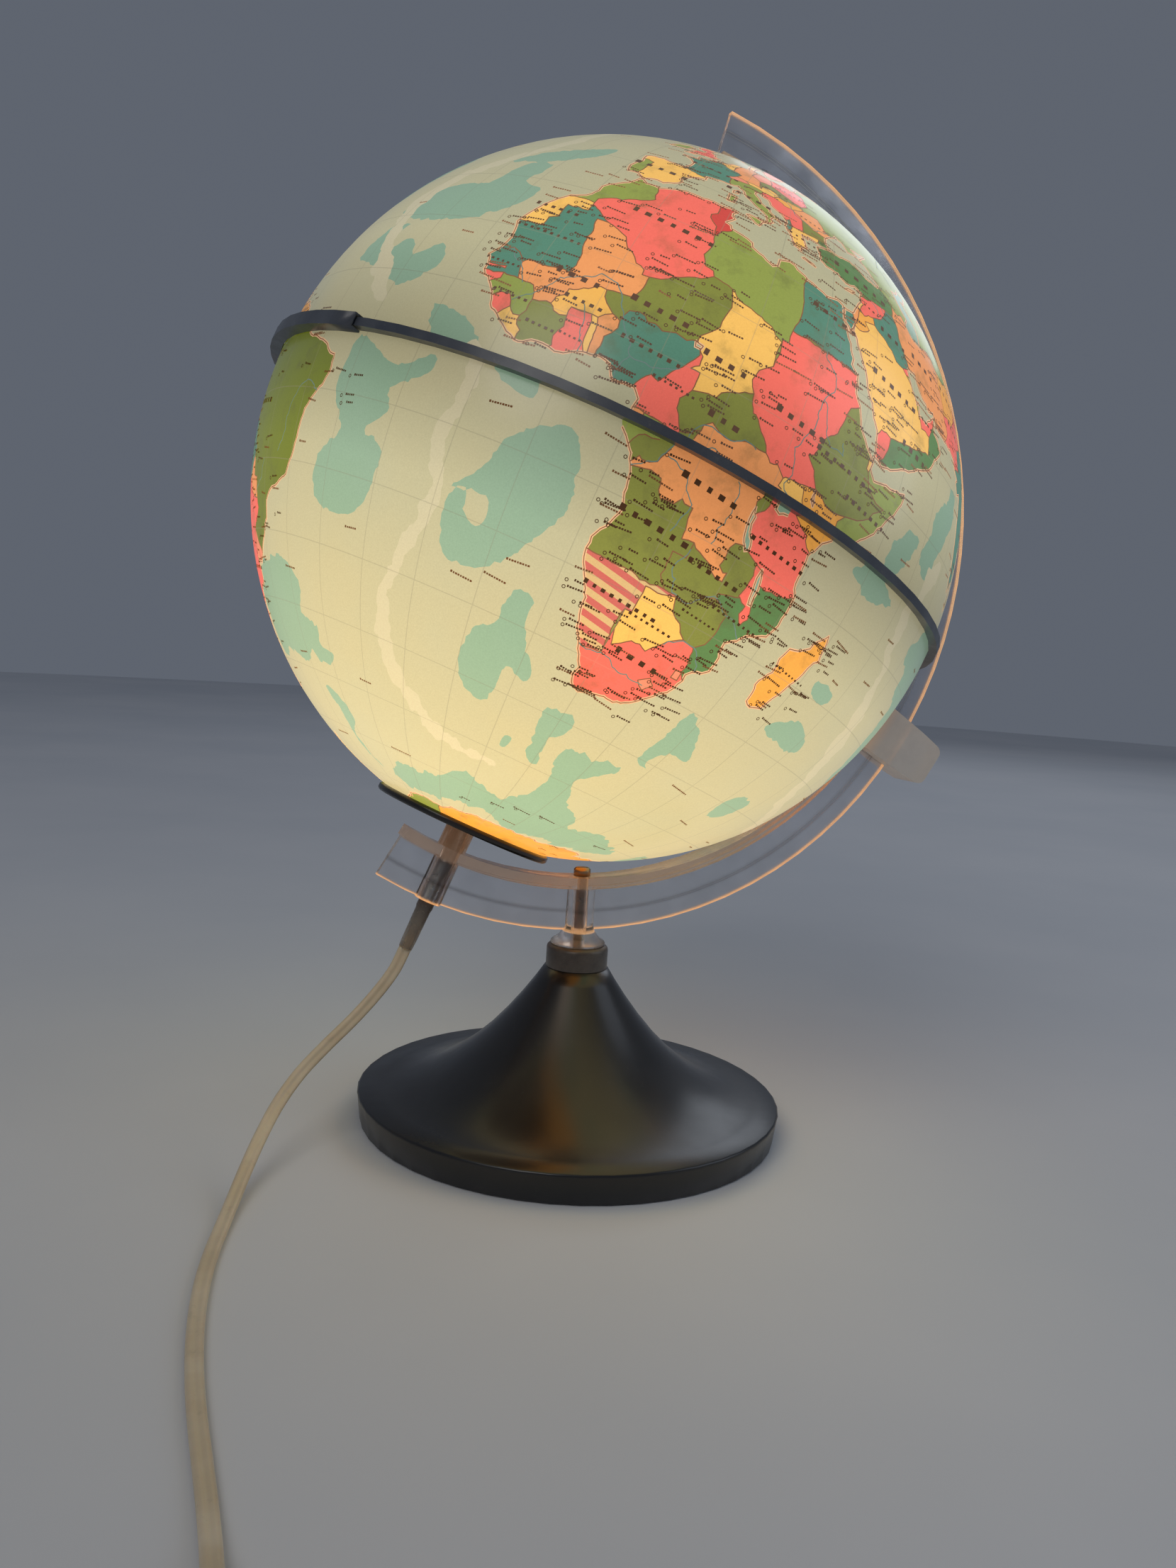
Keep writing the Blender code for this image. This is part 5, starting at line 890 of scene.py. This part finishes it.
BASINS = """
brazil: -31,-2 -27,-3.5 -22,-5 -17,-2.5 -17,-5 -22,-8 -21,-11 -24,-14 -20,-16 -21,-22 -24,-25 -30,-25
 -33,-22 -32,-18 -29,-15 -32,-10 -32,-6
angola: 4,-5 6,-7 7,-9.5 7.5,-15 5,-19 2,-23.5 -2,-25.5 -6,-25.5 -8,-22 -8,-18 -6,-16.5 -5,-19.5 -3,-20.5
 -2,-19 -3,-16.5 -8,-17 -6,-15 -4,-12 -3,-9 1,-6
cape: 5,-26 8,-26 8.5,-30 12,-35 11.5,-37 8,-36 7,-42 3,-42 0,-38 1,-33 4,-31
argentine: -60,-38 -48,-33.5 -41,-34 -37,-37 -38,-41 -33,-42 -33,-45 -29,-46 -32,-48 -38,-47 -41,-49 -50,-48
 -60,-49
agulhas: 17,-39 22,-39 22,-42 20,-44 21,-49 18,-48 17,-43
speck: 12.5,-46.5 14,-46.5 13.5,-48.5 12.3,-48.5
southern: 24,-44 35,-42.7 33,-46 30,-49 34,-54 40,-57 42,-60 52,-57.5 60,-60 69,-62 60,-65 40,-67 30,-69
 18,-66 5,-67 -8,-69 -22,-68 -14,-63 -2,-62 5,-58 10,-57.5 18,-60 24,-56 25,-50
natal: 38,-30 42,-33 44,-37 40,-37 38,-40 39,-41 36,-40 37,-35
mascarene: 51,-26 56,-23.5 61.5,-26 60,-28 52,-27.5
crozet: 60.5,-40 63,-37.3 67,-38 66,-42 62,-43.5
somali_south: 47,-3 50,-1 54,-1.5 58,-3.5 53,-5 49,-4
islet: 53,-17.5 58,-18 57,-20 53.5,-19.5
scotia: -37,-52.5 -33,-53 -29,-57 -33,-61 -27,-67 -33,-63 -34,-57
guinea_south: -9,-.5 -3,-.5 -2,-3.5 -6,-3
verde: -43,12 -41,17 -36,18 -39,14 -32,15 -30,12.5 -26,15 -24,12 -28,8 -34,9 -39,11
canary: -42,21 -39,25 -34,27 -28,28 -26,33 -21,34 -22,29 -18,27.5 -20,23 -25,20 -30,19 -36,19
iberia: -30,34 -25,38 -20,40.5 -15,42.5 -16,39 -22,35
somali: 52,3 54.5,8 58.5,8.5 57,4 54,1
guinea: -21,6 -15,5 -12,2.5 -18,1.5
america: -70,22 -62,33 -50,40 -44,36 -50,28 -60,18 -68,19
carib: -78,13 -72,16 -66,15 -70,12.5
labrador: -55,58 -45,56 -42,50 -50,46
arabian: 60,8 66,20 70,17 66,10 64,5
indian: 70,-5 85,5 96,-8 106,-20 98,-32 84,-24 78,-12
wharton: 108,-38 125,-42 130,-48 112,-47
bengal: 84,8 90,15 93,9 88,3
antarctic: 80,-58 110,-60 150,-58 130,-63 90,-64
philippine: 126,10 130,27 140,24 144,14 138,8
mariana: 148,8 150,30 158,42 176,44 182,28 168,18 160,12
pacific: 186,10 190,38 205,46 222,40 232,26 215,12 200,6
tasman: 153,-45 158,-30 165,-36 160,-46
samoa: 178,-12 190,-8 200,-18 192,-30 182,-26
southwest: 190,-34 215,-30 228,-42 215,-56 195,-52
peru: 238,-2 262,-6 280,-12 282,-25 268,-24 250,-12
chile_sea: 262,-34 280,-34 280,-48 262,-52 246,-46
bellings: 225,-60 250,-62 275,-60 262,-67 235,-67
arctic: 150,84 190,78 215,80 180,87
"""
RIDGES = """
middle: -13.5,2 -11.5,-4 -13,-12 -11,-19 -14,-27 -16.5,-35 -15,-43 -10,-48 -2,-53 12,-53.5 12,-52 0,-51
 -8,-46 -12.5,-41 -14,-34 -12,-27 -9,-19 -11,-12 -9.5,-4 -11,2
north: -33,6 -40,16 -42,25 -34,34 -28,42 -29,52 -34,60 -31,60 -26,52 -25,42 -31,33 -38,25 -37,16 -30,6
indian: 66,8 62,-4 68,-20 76,-36 92,-44 92,-41 78,-33 71,-20 65,-4 69,8
pacific: -112,8 -108,-10 -113,-26 -112,-44 -128,-56 -124,-57 -107,-44 -109,-26 -104,-10 -108,8
"""
RIVERS = """
nile: 32.4,31 31.2,29.5 31,27 32.6,25.5 32.9,24 31,21.5 33.5,19 33.7,17.5 32.5,15.6 32.5,12 31.5,9.5 31.5,6
 31.3,3 33,.5
blue_nile: 32.5,15.6 34.3,12 35.5,10.5 38,10.5 37.4,12
niger: 6,4.6 6.7,8 4.6,11 3,13.5 .5,16.5 -1.5,16.9 -4.5,15 -7,12.8 -10.5,9.3
benue: 6.7,8 9.5,7.8 13,9.3
senegal: -16.4,16 -14.5,16.5 -12.3,14.8 -10.5,12
volta: .5,5.9 -.5,9 -1.5,12
congo: 12.5,-6 15.3,-4.2 17,-1 18.5,1.8 21.5,2.2 24.5,.8 26,-2 26.5,-6 26,-10
ubangi: 17.8,-.3 18.6,4.3 22.5,4.2 26,4.8
kasai: 16.2,-3.1 19.5,-4 21.5,-7 20.5,-11
zambezi: 36.2,-18.7 34,-16.8 31,-15.7 28.9,-16 27,-17.9 24.5,-17.5 23,-14.5 24,-11.8
limpopo: 33.5,-25 32,-22.6 29.5,-22.2 27.3,-23.8
orange: 16.6,-28.6 20,-28.5 22,-29 25,-29.6 28,-30
tigris: 48,30 45,32.7 43.2,35.5 41,37.5
euphrates: 47.3,31 44,33 41,34.5 38.5,36.5
indus: 67.5,24.2 68.5,27.5 71,31 73,34.5
ganges: 90,23 86,25.4 82,25.5 79,29
amazon: -50,-.5 -55,-2 -60,-3.2 -67,-3 -73,-4.5
francisco: -36.5,-10.4 -40,-9 -43,-12 -45,-19
parana: -58.5,-34 -60,-31 -58,-27 -54.5,-24 -51,-20
danube: 29.6,45.2 26,44 21,44.8 19,47.5 13.5,48.6
volga: 48,46 44.5,48.7 48,53 49,56 42,57
mississippi: -89.3,29.2 -91,34 -90,38.5 -93.5,45
yangtze: 121.8,31.4 115,30 106.5,29.5 101,26.5
"""

INKS = {
    "sea": (222, 209, 158), "basin": (164, 194, 156), "ridge": (236, 220, 172), "green": (148, 156, 69),
    "grass": (133, 134, 56), "moss": (96, 130, 70), "forest": (116, 124, 34), "teal": (88, 134, 106),
    "red": (252, 112, 90), "crimson": (214, 74, 60), "orange": (244, 156, 88), "yellow": (252, 192, 92),
    "sand": (252, 184, 80), "gold": (246, 168, 66), "rose": (242, 142, 104), "cream": (244, 224, 178),
    "stripes": (252, 204, 130), "coast": (240, 186, 136), "border": (140, 92, 58), "lettering": (96, 66, 44),
    "river": (110, 130, 116), "stripe": (238, 112, 94),
}
GROUPS = {  # undermost first
    "depth": BASINS, "ridge": RIDGES, "land": LANDS, "country": COUNTRIES, "lake": LAKES,
}
GROUP_INKS = {"depth": "basin", "ridge": "ridge", "land": "green", "lake": "basin"}  # a country names its own
PATTERNS = {"stripes": 1.0, "sea": 0.5, "basin": 0.5, "ridge": 0.5}  # the material tells inks apart by these
LAND_PATTERN = 0.0
LINES = {  # the ink, the width in degrees and the height over the skin
    "border": ("border", 0.16, 0.05 * MM), "shore": ("border", 0.13, 0.05 * MM),
    "shallows": ("coast", 0.42, 0.03 * MM), "river": ("river", 0.15, 0.06 * MM),
}
STAMP_LIFT = 0.09 * MM
SMALL_PRINT = 0.5  # size of a small mark, in degrees
BIG_PRINT = 1.45  # size of the largest mark
TOWN_SIZE = 0.26
TOWN_SIDES = 10
TOWN_AREA = 6  # square degrees of a country for each town
MOST_TOWNS = 40
RIM = 89.72  # the edge of a printed half, in degrees from its pole
RIM_SIDES = 240
EQUATOR = 91  # where the equator would fall; the strip hides the rest
NEAR_THE_RIM = 92  # outlines are followed this far
NET = 2.5  # degrees between the rings of extra vertices that keep the skin round


def outlines(text):
    """The entries of a list above: their words, and their points."""
    entries = text.strip().replace("\n ", " ").splitlines()
    return [(title.split(), [tuple(float(v) for v in p.split(",")) for p in points.split()])
            for title, points in (entry.split(": ") for entry in entries)]


def crinkle(points, step=1.1, amount=0.2, closed=True):
    """A natural line between the given points. A shared border comes out the same from both sides."""
    made = []

    def split(a, b):
        span = math.dist(a, b)
        if span < step:
            made.append(a)
            return
        low, high = min(a, b), max(a, b)
        x, y = (a[0] + b[0]) / 2, (a[1] + b[1]) / 2
        push = amount * noise.noise(Vector((x * 5.3, y * 4.7, 0)))
        middle = (x - (high[1] - low[1]) * push, y + (high[0] - low[0]) * push)
        split(a, middle)
        split(middle, b)

    for a, b in zip(points, points[1:] + points[:1] if closed else points[1:]):
        split(a, b)
    return made if closed else made + [points[-1]]


def rounded(points, steps):
    """A closed outline with soft curves, as sea depths are drawn."""
    made = []
    for i in range(len(points)):
        a, b, c, d = (np.array(points[(i + k) % len(points)]) for k in (-1, 0, 1, 2))
        for t in (j / steps for j in range(steps)):
            made.append(tuple(bend(a, b, c, d, t)))
    return made


def inside(shape, points):
    """Which points lie inside a closed outline, all in one plane."""
    a, b = shape, np.roll(shape, -1, axis=0)
    x, y = points[:, :1], points[:, 1:]
    spans = (a[:, 1] > y) != (b[:, 1] > y)
    rise = np.where(b[:, 1] == a[:, 1], 1.0, b[:, 1] - a[:, 1])
    return (spans & (x < (b[:, 0] - a[:, 0]) * (y - a[:, 1]) / rise + a[:, 0])).sum(axis=1) % 2 == 1


class Half:
    """One printed half, unrolled round its pole: a point's distance from the middle is its angle in degrees."""

    def __init__(self, side, hole):
        self.side, self.hole, self.rim = side, hole, RIM
        self.verts, self.faces, self.inks = [], [], []

    def plane(self, points):
        points = np.asarray(points, float)
        away = (90 - self.side * points[:, 1]) * EQUATOR / 90
        turn = np.radians(points[:, 0] - NORTH_TO_ARM)
        return np.stack([away * np.cos(turn), away * np.sin(turn)], axis=1)

    def ball(self, flat, radius):
        away = np.radians(np.linalg.norm(flat, axis=1))
        turn = np.arctan2(flat[:, 1], flat[:, 0])
        unit = [np.sin(away) * np.cos(turn), np.sin(away) * np.sin(turn), self.side * np.cos(away)]
        return radius * np.stack(unit, axis=1)

    def shows(self, flat, margin=0.0):
        away = np.linalg.norm(flat, axis=-1)
        return (away > self.hole + margin) & (away < self.rim - margin)

    def add(self, flat, faces, inks, lift=0.0):
        start = len(self.verts)
        self.verts += self.ball(flat, SKIN + lift).tolist()
        outwards = faces if self.side > 0 else [reversed(face) for face in faces]
        self.faces += [tuple(start + i for i in face) for face in outwards]
        self.inks += inks

    def strip(self, a, b, kind):
        """A thin line from a to b, in degrees in the plane, with its ends slightly overlapping the next."""
        ink, width, lift = LINES[kind]
        along = b - a
        length = np.linalg.norm(along)
        if length < 1e-6 or not (self.shows(a, 0.3) and self.shows(b, 0.3)):
            return
        along = along / length
        away = np.linalg.norm(a)
        out = a / away
        stretch = max(0.3, math.sin(math.radians(away)) / math.radians(away))
        wide = np.array([-along[1], along[0]])
        wide = wide * (width / 2) / (abs(wide @ out) + (1 - abs(wide @ out)) * stretch)
        a, b = a - along * width / 3, b + along * width / 3
        self.add(np.array([a - wide, b - wide, b + wide, a + wide]), [(0, 1, 2, 3)], [ink], lift)

    def stamp(self, corners, faces, ink):
        """A small printed shape, in degrees east and north. It is left out where it would cross the rim."""
        flat = self.plane(corners)
        if self.shows(flat, 0.35).all():
            self.add(flat, faces, [ink] * len(faces), STAMP_LIFT)

    def blocks(self, east, north, count, size, slant, ink, spacing=0.72):
        """A row of short marks that stands for a printed name."""
        corners, faces = [], []
        shrink = max(0.2, math.cos(math.radians(north)))
        slant = math.radians(slant)
        for i in range(count):
            x = (i - (count - 1) / 2) * size * spacing
            tall = size * (0.62 if i == 0 else 0.5)
            thick = size * (0.27, 0.22, 0.30)[(i * 7 + count) % 3]
            for u, v in ((x - thick, 0), (x + thick, 0), (x + thick, tall), (x - thick, tall)):
                right = u * math.cos(slant) - v * math.sin(slant)
                up = u * math.sin(slant) + v * math.cos(slant)
                corners.append((east + right / shrink, north + up))
            faces.append(tuple(range(4 * i, 4 * i + 4)))
        self.stamp(corners, faces, ink)

    def town(self, east, north, size):
        """A small open ring."""
        shrink = max(0.2, math.cos(math.radians(north)))
        rings = circle(size, TOWN_SIDES) + circle(size * 0.6, TOWN_SIDES)
        corners = [(east + x / shrink, north + y) for x, y in rings]
        after = [(i + 1) % TOWN_SIDES for i in range(TOWN_SIDES)]
        faces = [(i, j, TOWN_SIDES + j, TOWN_SIDES + i) for i, j in enumerate(after)]
        self.stamp(corners, faces, "lettering")

    def build(self, name):
        mesh = bpy.data.meshes.new(name)
        local = np.array(self.verts)
        mesh.from_pydata([tuple(GLOBE @ Vector(v)) for v in local], [], self.faces)
        unit = local / np.linalg.norm(local, axis=1)[:, None]
        attribute = mesh.attributes.new("printed", "FLOAT_VECTOR", "POINT")
        attribute.data.foreach_set("vector", unit.astype(np.float32).ravel())
        colors, patterns = [], []
        color_of = {word: (*linear(*value), 1.0) for word, value in INKS.items()}
        for face, ink in zip(self.faces, self.inks):
            colors += [color_of[ink]] * len(face)
            patterns += [PATTERNS.get(ink, LAND_PATTERN)] * len(face)
        colors = np.array(colors).ravel()
        mesh.attributes.new("ink", "FLOAT_COLOR", "CORNER").data.foreach_set("color", colors)
        mesh.attributes.new("pattern", "FLOAT", "CORNER").data.foreach_set("value", patterns)
        mesh.shade_smooth()
        turn = GLOBE.to_3x3()
        mesh.normals_split_custom_set_from_vertices([tuple(turn @ Vector(v)) for v in unit])
        obj = bpy.data.objects.new(name, mesh)
        return link(obj, "globe", "printed_globe")


def layers_of(half):
    """The outlines that reach this half, undermost first: group, words and points in the plane."""
    layers = []
    for group, text in GROUPS.items():
        for words, points in outlines(text):
            soft = group in ("depth", "ridge")
            points = crinkle(rounded(points, 3), 0.9, 0.5) if soft else crinkle(points)
            flat = half.plane(points)
            if np.linalg.norm(flat, axis=1).min() < half.rim:
                layers.append((group, words, flat))
    return layers


def cut_up(half, hole_sides, layers):
    """The half's flat disc as triangles whose sides follow every outline."""
    coords, edges = [], []
    for _, _, flat in layers:
        start, count = len(coords), len(flat)
        coords += flat.tolist()
        near = np.linalg.norm(flat, axis=1) < NEAR_THE_RIM
        sides = [(i, (i + 1) % count) for i in range(count)]
        edges += [(start + i, start + j) for i, j in sides if near[i] or near[j]]
    for radius, count in ((half.rim, RIM_SIDES), (half.hole, hole_sides)):
        start = len(coords)
        coords += circle(radius, count)
        edges += [(start + i, start + (i + 1) % count) for i in range(count)]
    for ring in range(1, round(90 / NET)):
        radius = ring * NET
        if half.hole + 1 < radius < half.rim - 1:
            around = 2 * math.pi * math.sin(math.radians(radius)) * 57.3
            coords += circle(radius, max(6, round(around / NET)), ring % 2 / 2)
    number_of, index = {}, []
    for x, y in coords:
        index.append(number_of.setdefault((round(x, 3), round(y, 3)), len(number_of)))
    joined = sorted({tuple(sorted((index[a], index[b]))) for a, b in edges if index[a] != index[b]})
    verts, _, faces, _, _, _ = delaunay_2d_cdt([Vector(p) for p in number_of], joined, [], 0, 1e-4, False)
    verts = np.array(verts)
    faces = np.array([face for face in faces if len(face) == 3])
    return verts, faces[half.shows(verts[faces].mean(axis=1))]


def painted(layers, middle):
    """For each triangle, by its middle: its ink, the number of its outline, and whether it is land."""
    ink = np.full(len(middle), "sea", dtype="<U10")
    region = np.zeros(len(middle), int)
    land = np.zeros(len(middle), bool)
    for number, (group, words, flat) in enumerate(layers, 1):
        near = ((middle > flat.min(axis=0)) & (middle < flat.max(axis=0))).all(axis=1)
        if group == "country":
            near &= land
        near = np.flatnonzero(near)
        if not len(near):
            continue
        hit = near[inside(flat, middle[near])]
        ink[hit] = GROUP_INKS.get(group) or words[1]
        if group != "ridge":
            region[hit] = number
        if group in ("land", "lake"):
            land[hit] = group == "land"
    return ink, region, land


def draw_borders(half, verts, faces, region, land):
    beside = {}
    for number, face in enumerate(faces.tolist()):
        for a, b in zip(face, face[1:] + face[:1]):
            beside.setdefault((min(a, b), max(a, b)), []).append(number)
    for (a, b), pair in beside.items():
        if len(pair) == 2 and region[pair[0]] != region[pair[1]]:
            one, two = land[pair]
            kinds = ("border",) if one and two else ("shallows", "shore") if one != two else ()
            for kind in kinds:
                half.strip(verts[a], verts[b], kind)


def draw_rivers(half):
    for _, points in outlines(RIVERS):
        flat = half.plane(crinkle(points, 0.8, 0.35, closed=False))
        for a, b in zip(flat, flat[1:]):
            half.strip(a, b, "river")


def print_countries(half, chance):
    """A row of large marks across each country, and its towns with a row of small ones beside each."""
    for words, points in outlines(COUNTRIES):
        if np.linalg.norm(half.plane(points), axis=1).min() > 88:
            continue
        shape = np.array(points)
        middle = shape.mean(axis=0)
        width = np.ptp(shape[:, 0]) * math.cos(math.radians(middle[1]))
        area = width * np.ptp(shape[:, 1])
        size = min(BIG_PRINT, 0.62 * width / len(words[0]))
        if size > 0.55 and half.side * middle[1] > 0:
            half.blocks(middle[0], middle[1] - size / 2, len(words[0]), size, -4, "lettering", 1.25)
        for _ in range(min(MOST_TOWNS, int(area / TOWN_AREA))):
            east = chance.uniform(shape[:, 0].min(), shape[:, 0].max())
            north = chance.uniform(shape[:, 1].min(), shape[:, 1].max())
            away = half.side * north < 0 or not inside(shape, np.array([[east, north]]))[0]
            if away or math.dist((east, north), middle) < 2:
                continue
            half.town(east, north, TOWN_SIZE)
            count = chance.randint(4, 8)
            half.blocks(east + 1.7, north + 0.2, count, SMALL_PRINT, chance.choice((-5, 0, 5)), "lettering")


def print_coasts(half, chance):
    """Rows of small marks along the coasts."""
    for _, points in outlines(LANDS):
        for east, north in crinkle(points, 3.0, 0.0)[::2]:
            if half.side * north > 0 and chance.random() < 0.7 and abs(north) < 62:
                east += chance.uniform(-2.5, 2.5)
                north += chance.uniform(-1, 1)
                count = chance.randint(5, 9)
                half.blocks(east, north, count, SMALL_PRINT, chance.choice((-6, 0, 6)), "border")


def print_seas(half, chance):
    """Rows of small marks anywhere, as soundings and the names of seas."""
    for _ in range(70):
        east, north = chance.uniform(-180, 180), half.side * chance.uniform(3, 66)
        count = chance.randint(5, 10)
        half.blocks(east, north, count, SMALL_PRINT, chance.uniform(-8, 8), "border")


def make_map(name, side, hole, hole_sides, seed):
    """One printed half, from its pole's hole to the equator strip, with its lines and marks just above it."""
    half = Half(side, hole)
    layers = layers_of(half)
    verts, faces = cut_up(half, hole_sides, layers)
    ink, region, land = painted(layers, verts[faces].mean(axis=1))
    half.add(verts, faces.tolist(), ink.tolist())
    draw_borders(half, verts, faces, region, land)
    draw_rivers(half)
    chance = random.Random(seed)
    print_countries(half, chance)
    print_coasts(half, chance)
    print_seas(half, chance)
    return half.build(name)


def backlight(ink, color, land, height):
    """The lamp through the shell: brightest nearest to the lamp, and weaker at the seam on the equator."""
    far = ink.from_point(LAMP)
    near = ink.ramp(far, LAMP_REACH, 100 * MM, 0.66, 1.18)
    glow = ink.math("ADD", near, ink.ramp(far, LAMP_REACH, 215 * MM, 0.0, -0.06))
    gain = ink.ramp(ink.times(land, ink.ramp(far, 125 * MM, LAMP_REACH, 0.5, 1.0)), 0, 1, 1.0, 1.5)
    seam = ink.ramp(height, 0.0, 0.28, 0.56, 1.0)
    grain = ink.ramp(ink.noise(1900, 2), 0.3, 0.7, 0.94, 1.05)
    tint = ink.mix(ink.ramp(far, 170 * MM, 115 * MM), (0.95, 1.0, 1.12), (1.04, 0.95, 0.84))
    ink.shine(ink.vector("MULTIPLY", color, tint), ink.times(glow, seam, grain, gain))


def map_ink():
    """The print: flat inks with a grid every ten degrees, stripes, relief on land and cloudy seas."""
    ink = Ink("printed_globe", roughness=0.38, coat_weight=0.6, coat_roughness=0.2, ior=1.49)
    x, y, z = ink.node("SeparateXYZ", Vector=ink.attribute("printed", "Vector")).outputs
    height = ink.math("ABSOLUTE", z)
    east = ink.math("ADD", ink.times(ink.math("ARCTAN2", y, x), 180 / math.pi), NORTH_TO_ARM)
    away = ink.times(ink.math("ARCCOSINE", height), 180 / math.pi * 90 / EQUATOR)
    spread = ink.math("SINE", ink.times(away, math.pi / 180))

    def lines(value, half_width):
        tens = ink.math("FRACT", ink.math("ADD", ink.times(value, 0.1), 40.5))
        return ink.math("LESS_THAN", ink.math("ABSOLUTE", ink.math("SUBTRACT", tens, 0.5)), half_width)

    pattern = ink.attribute("pattern", "Fac")
    land = ink.math("LESS_THAN", pattern, 0.3)
    sea = ink.math("SUBTRACT", 1.0, land)
    grid = ink.math("MAXIMUM", lines(away, 0.007), lines(east, ink.math("DIVIDE", 0.007, spread)))
    slope = ink.math("ADD", ink.times(east, -0.15), ink.times(away, -0.98))
    band = ink.math("FRACT", ink.math("ADD", ink.times(slope, 0.60), 90.0))
    stripes = ink.times(ink.math("LESS_THAN", band, 0.5), ink.math("GREATER_THAN", pattern, 0.8))
    relief = ink.ramp(ink.noise(95, 6, 0.62), 0.52, 0.68)
    cloud = ink.ramp(ink.noise(14, 3), 0.35, 0.7)
    color = ink.mix(stripes, ink.attribute("ink"), linear(*INKS["stripe"]))
    color = ink.mix(ink.times(grid, 0.30), color, linear(150, 138, 108))
    color = ink.mix(ink.times(relief, land, 0.34), color, linear(96, 92, 50))
    color = ink.mix(ink.times(cloud, sea, 0.16), color, linear(188, 206, 186))
    backlight(ink, color, land, height)
    ink.color(ink.vector("MULTIPLY", color, (0.24, 0.24, 0.24)))
    ink.bump(ink.noise(60, 3), 0.0004, 0.12)
    return ink


# The whole model

make_camera()
make_studio()
smooth_pieces = {node: refined(node) for node in OUTSIDE}
cord = make_cord()
finish = finishes()
for node, slot in SLOT_OF.items():
    shown = smooth_pieces.get(node, frame["nodes"][node])
    finish["bolt" if node.startswith("clamp") else slot].put(shown)
finish["ivory_pvc"].put(cord)
north_map = make_map("map_north", side=1, hole=2.05, hole_sides=32, seed=7)
south_map = make_map("map_south", side=-1, hole=14.75, hole_sides=72, seed=11)
map_ink().put(north_map, south_map)
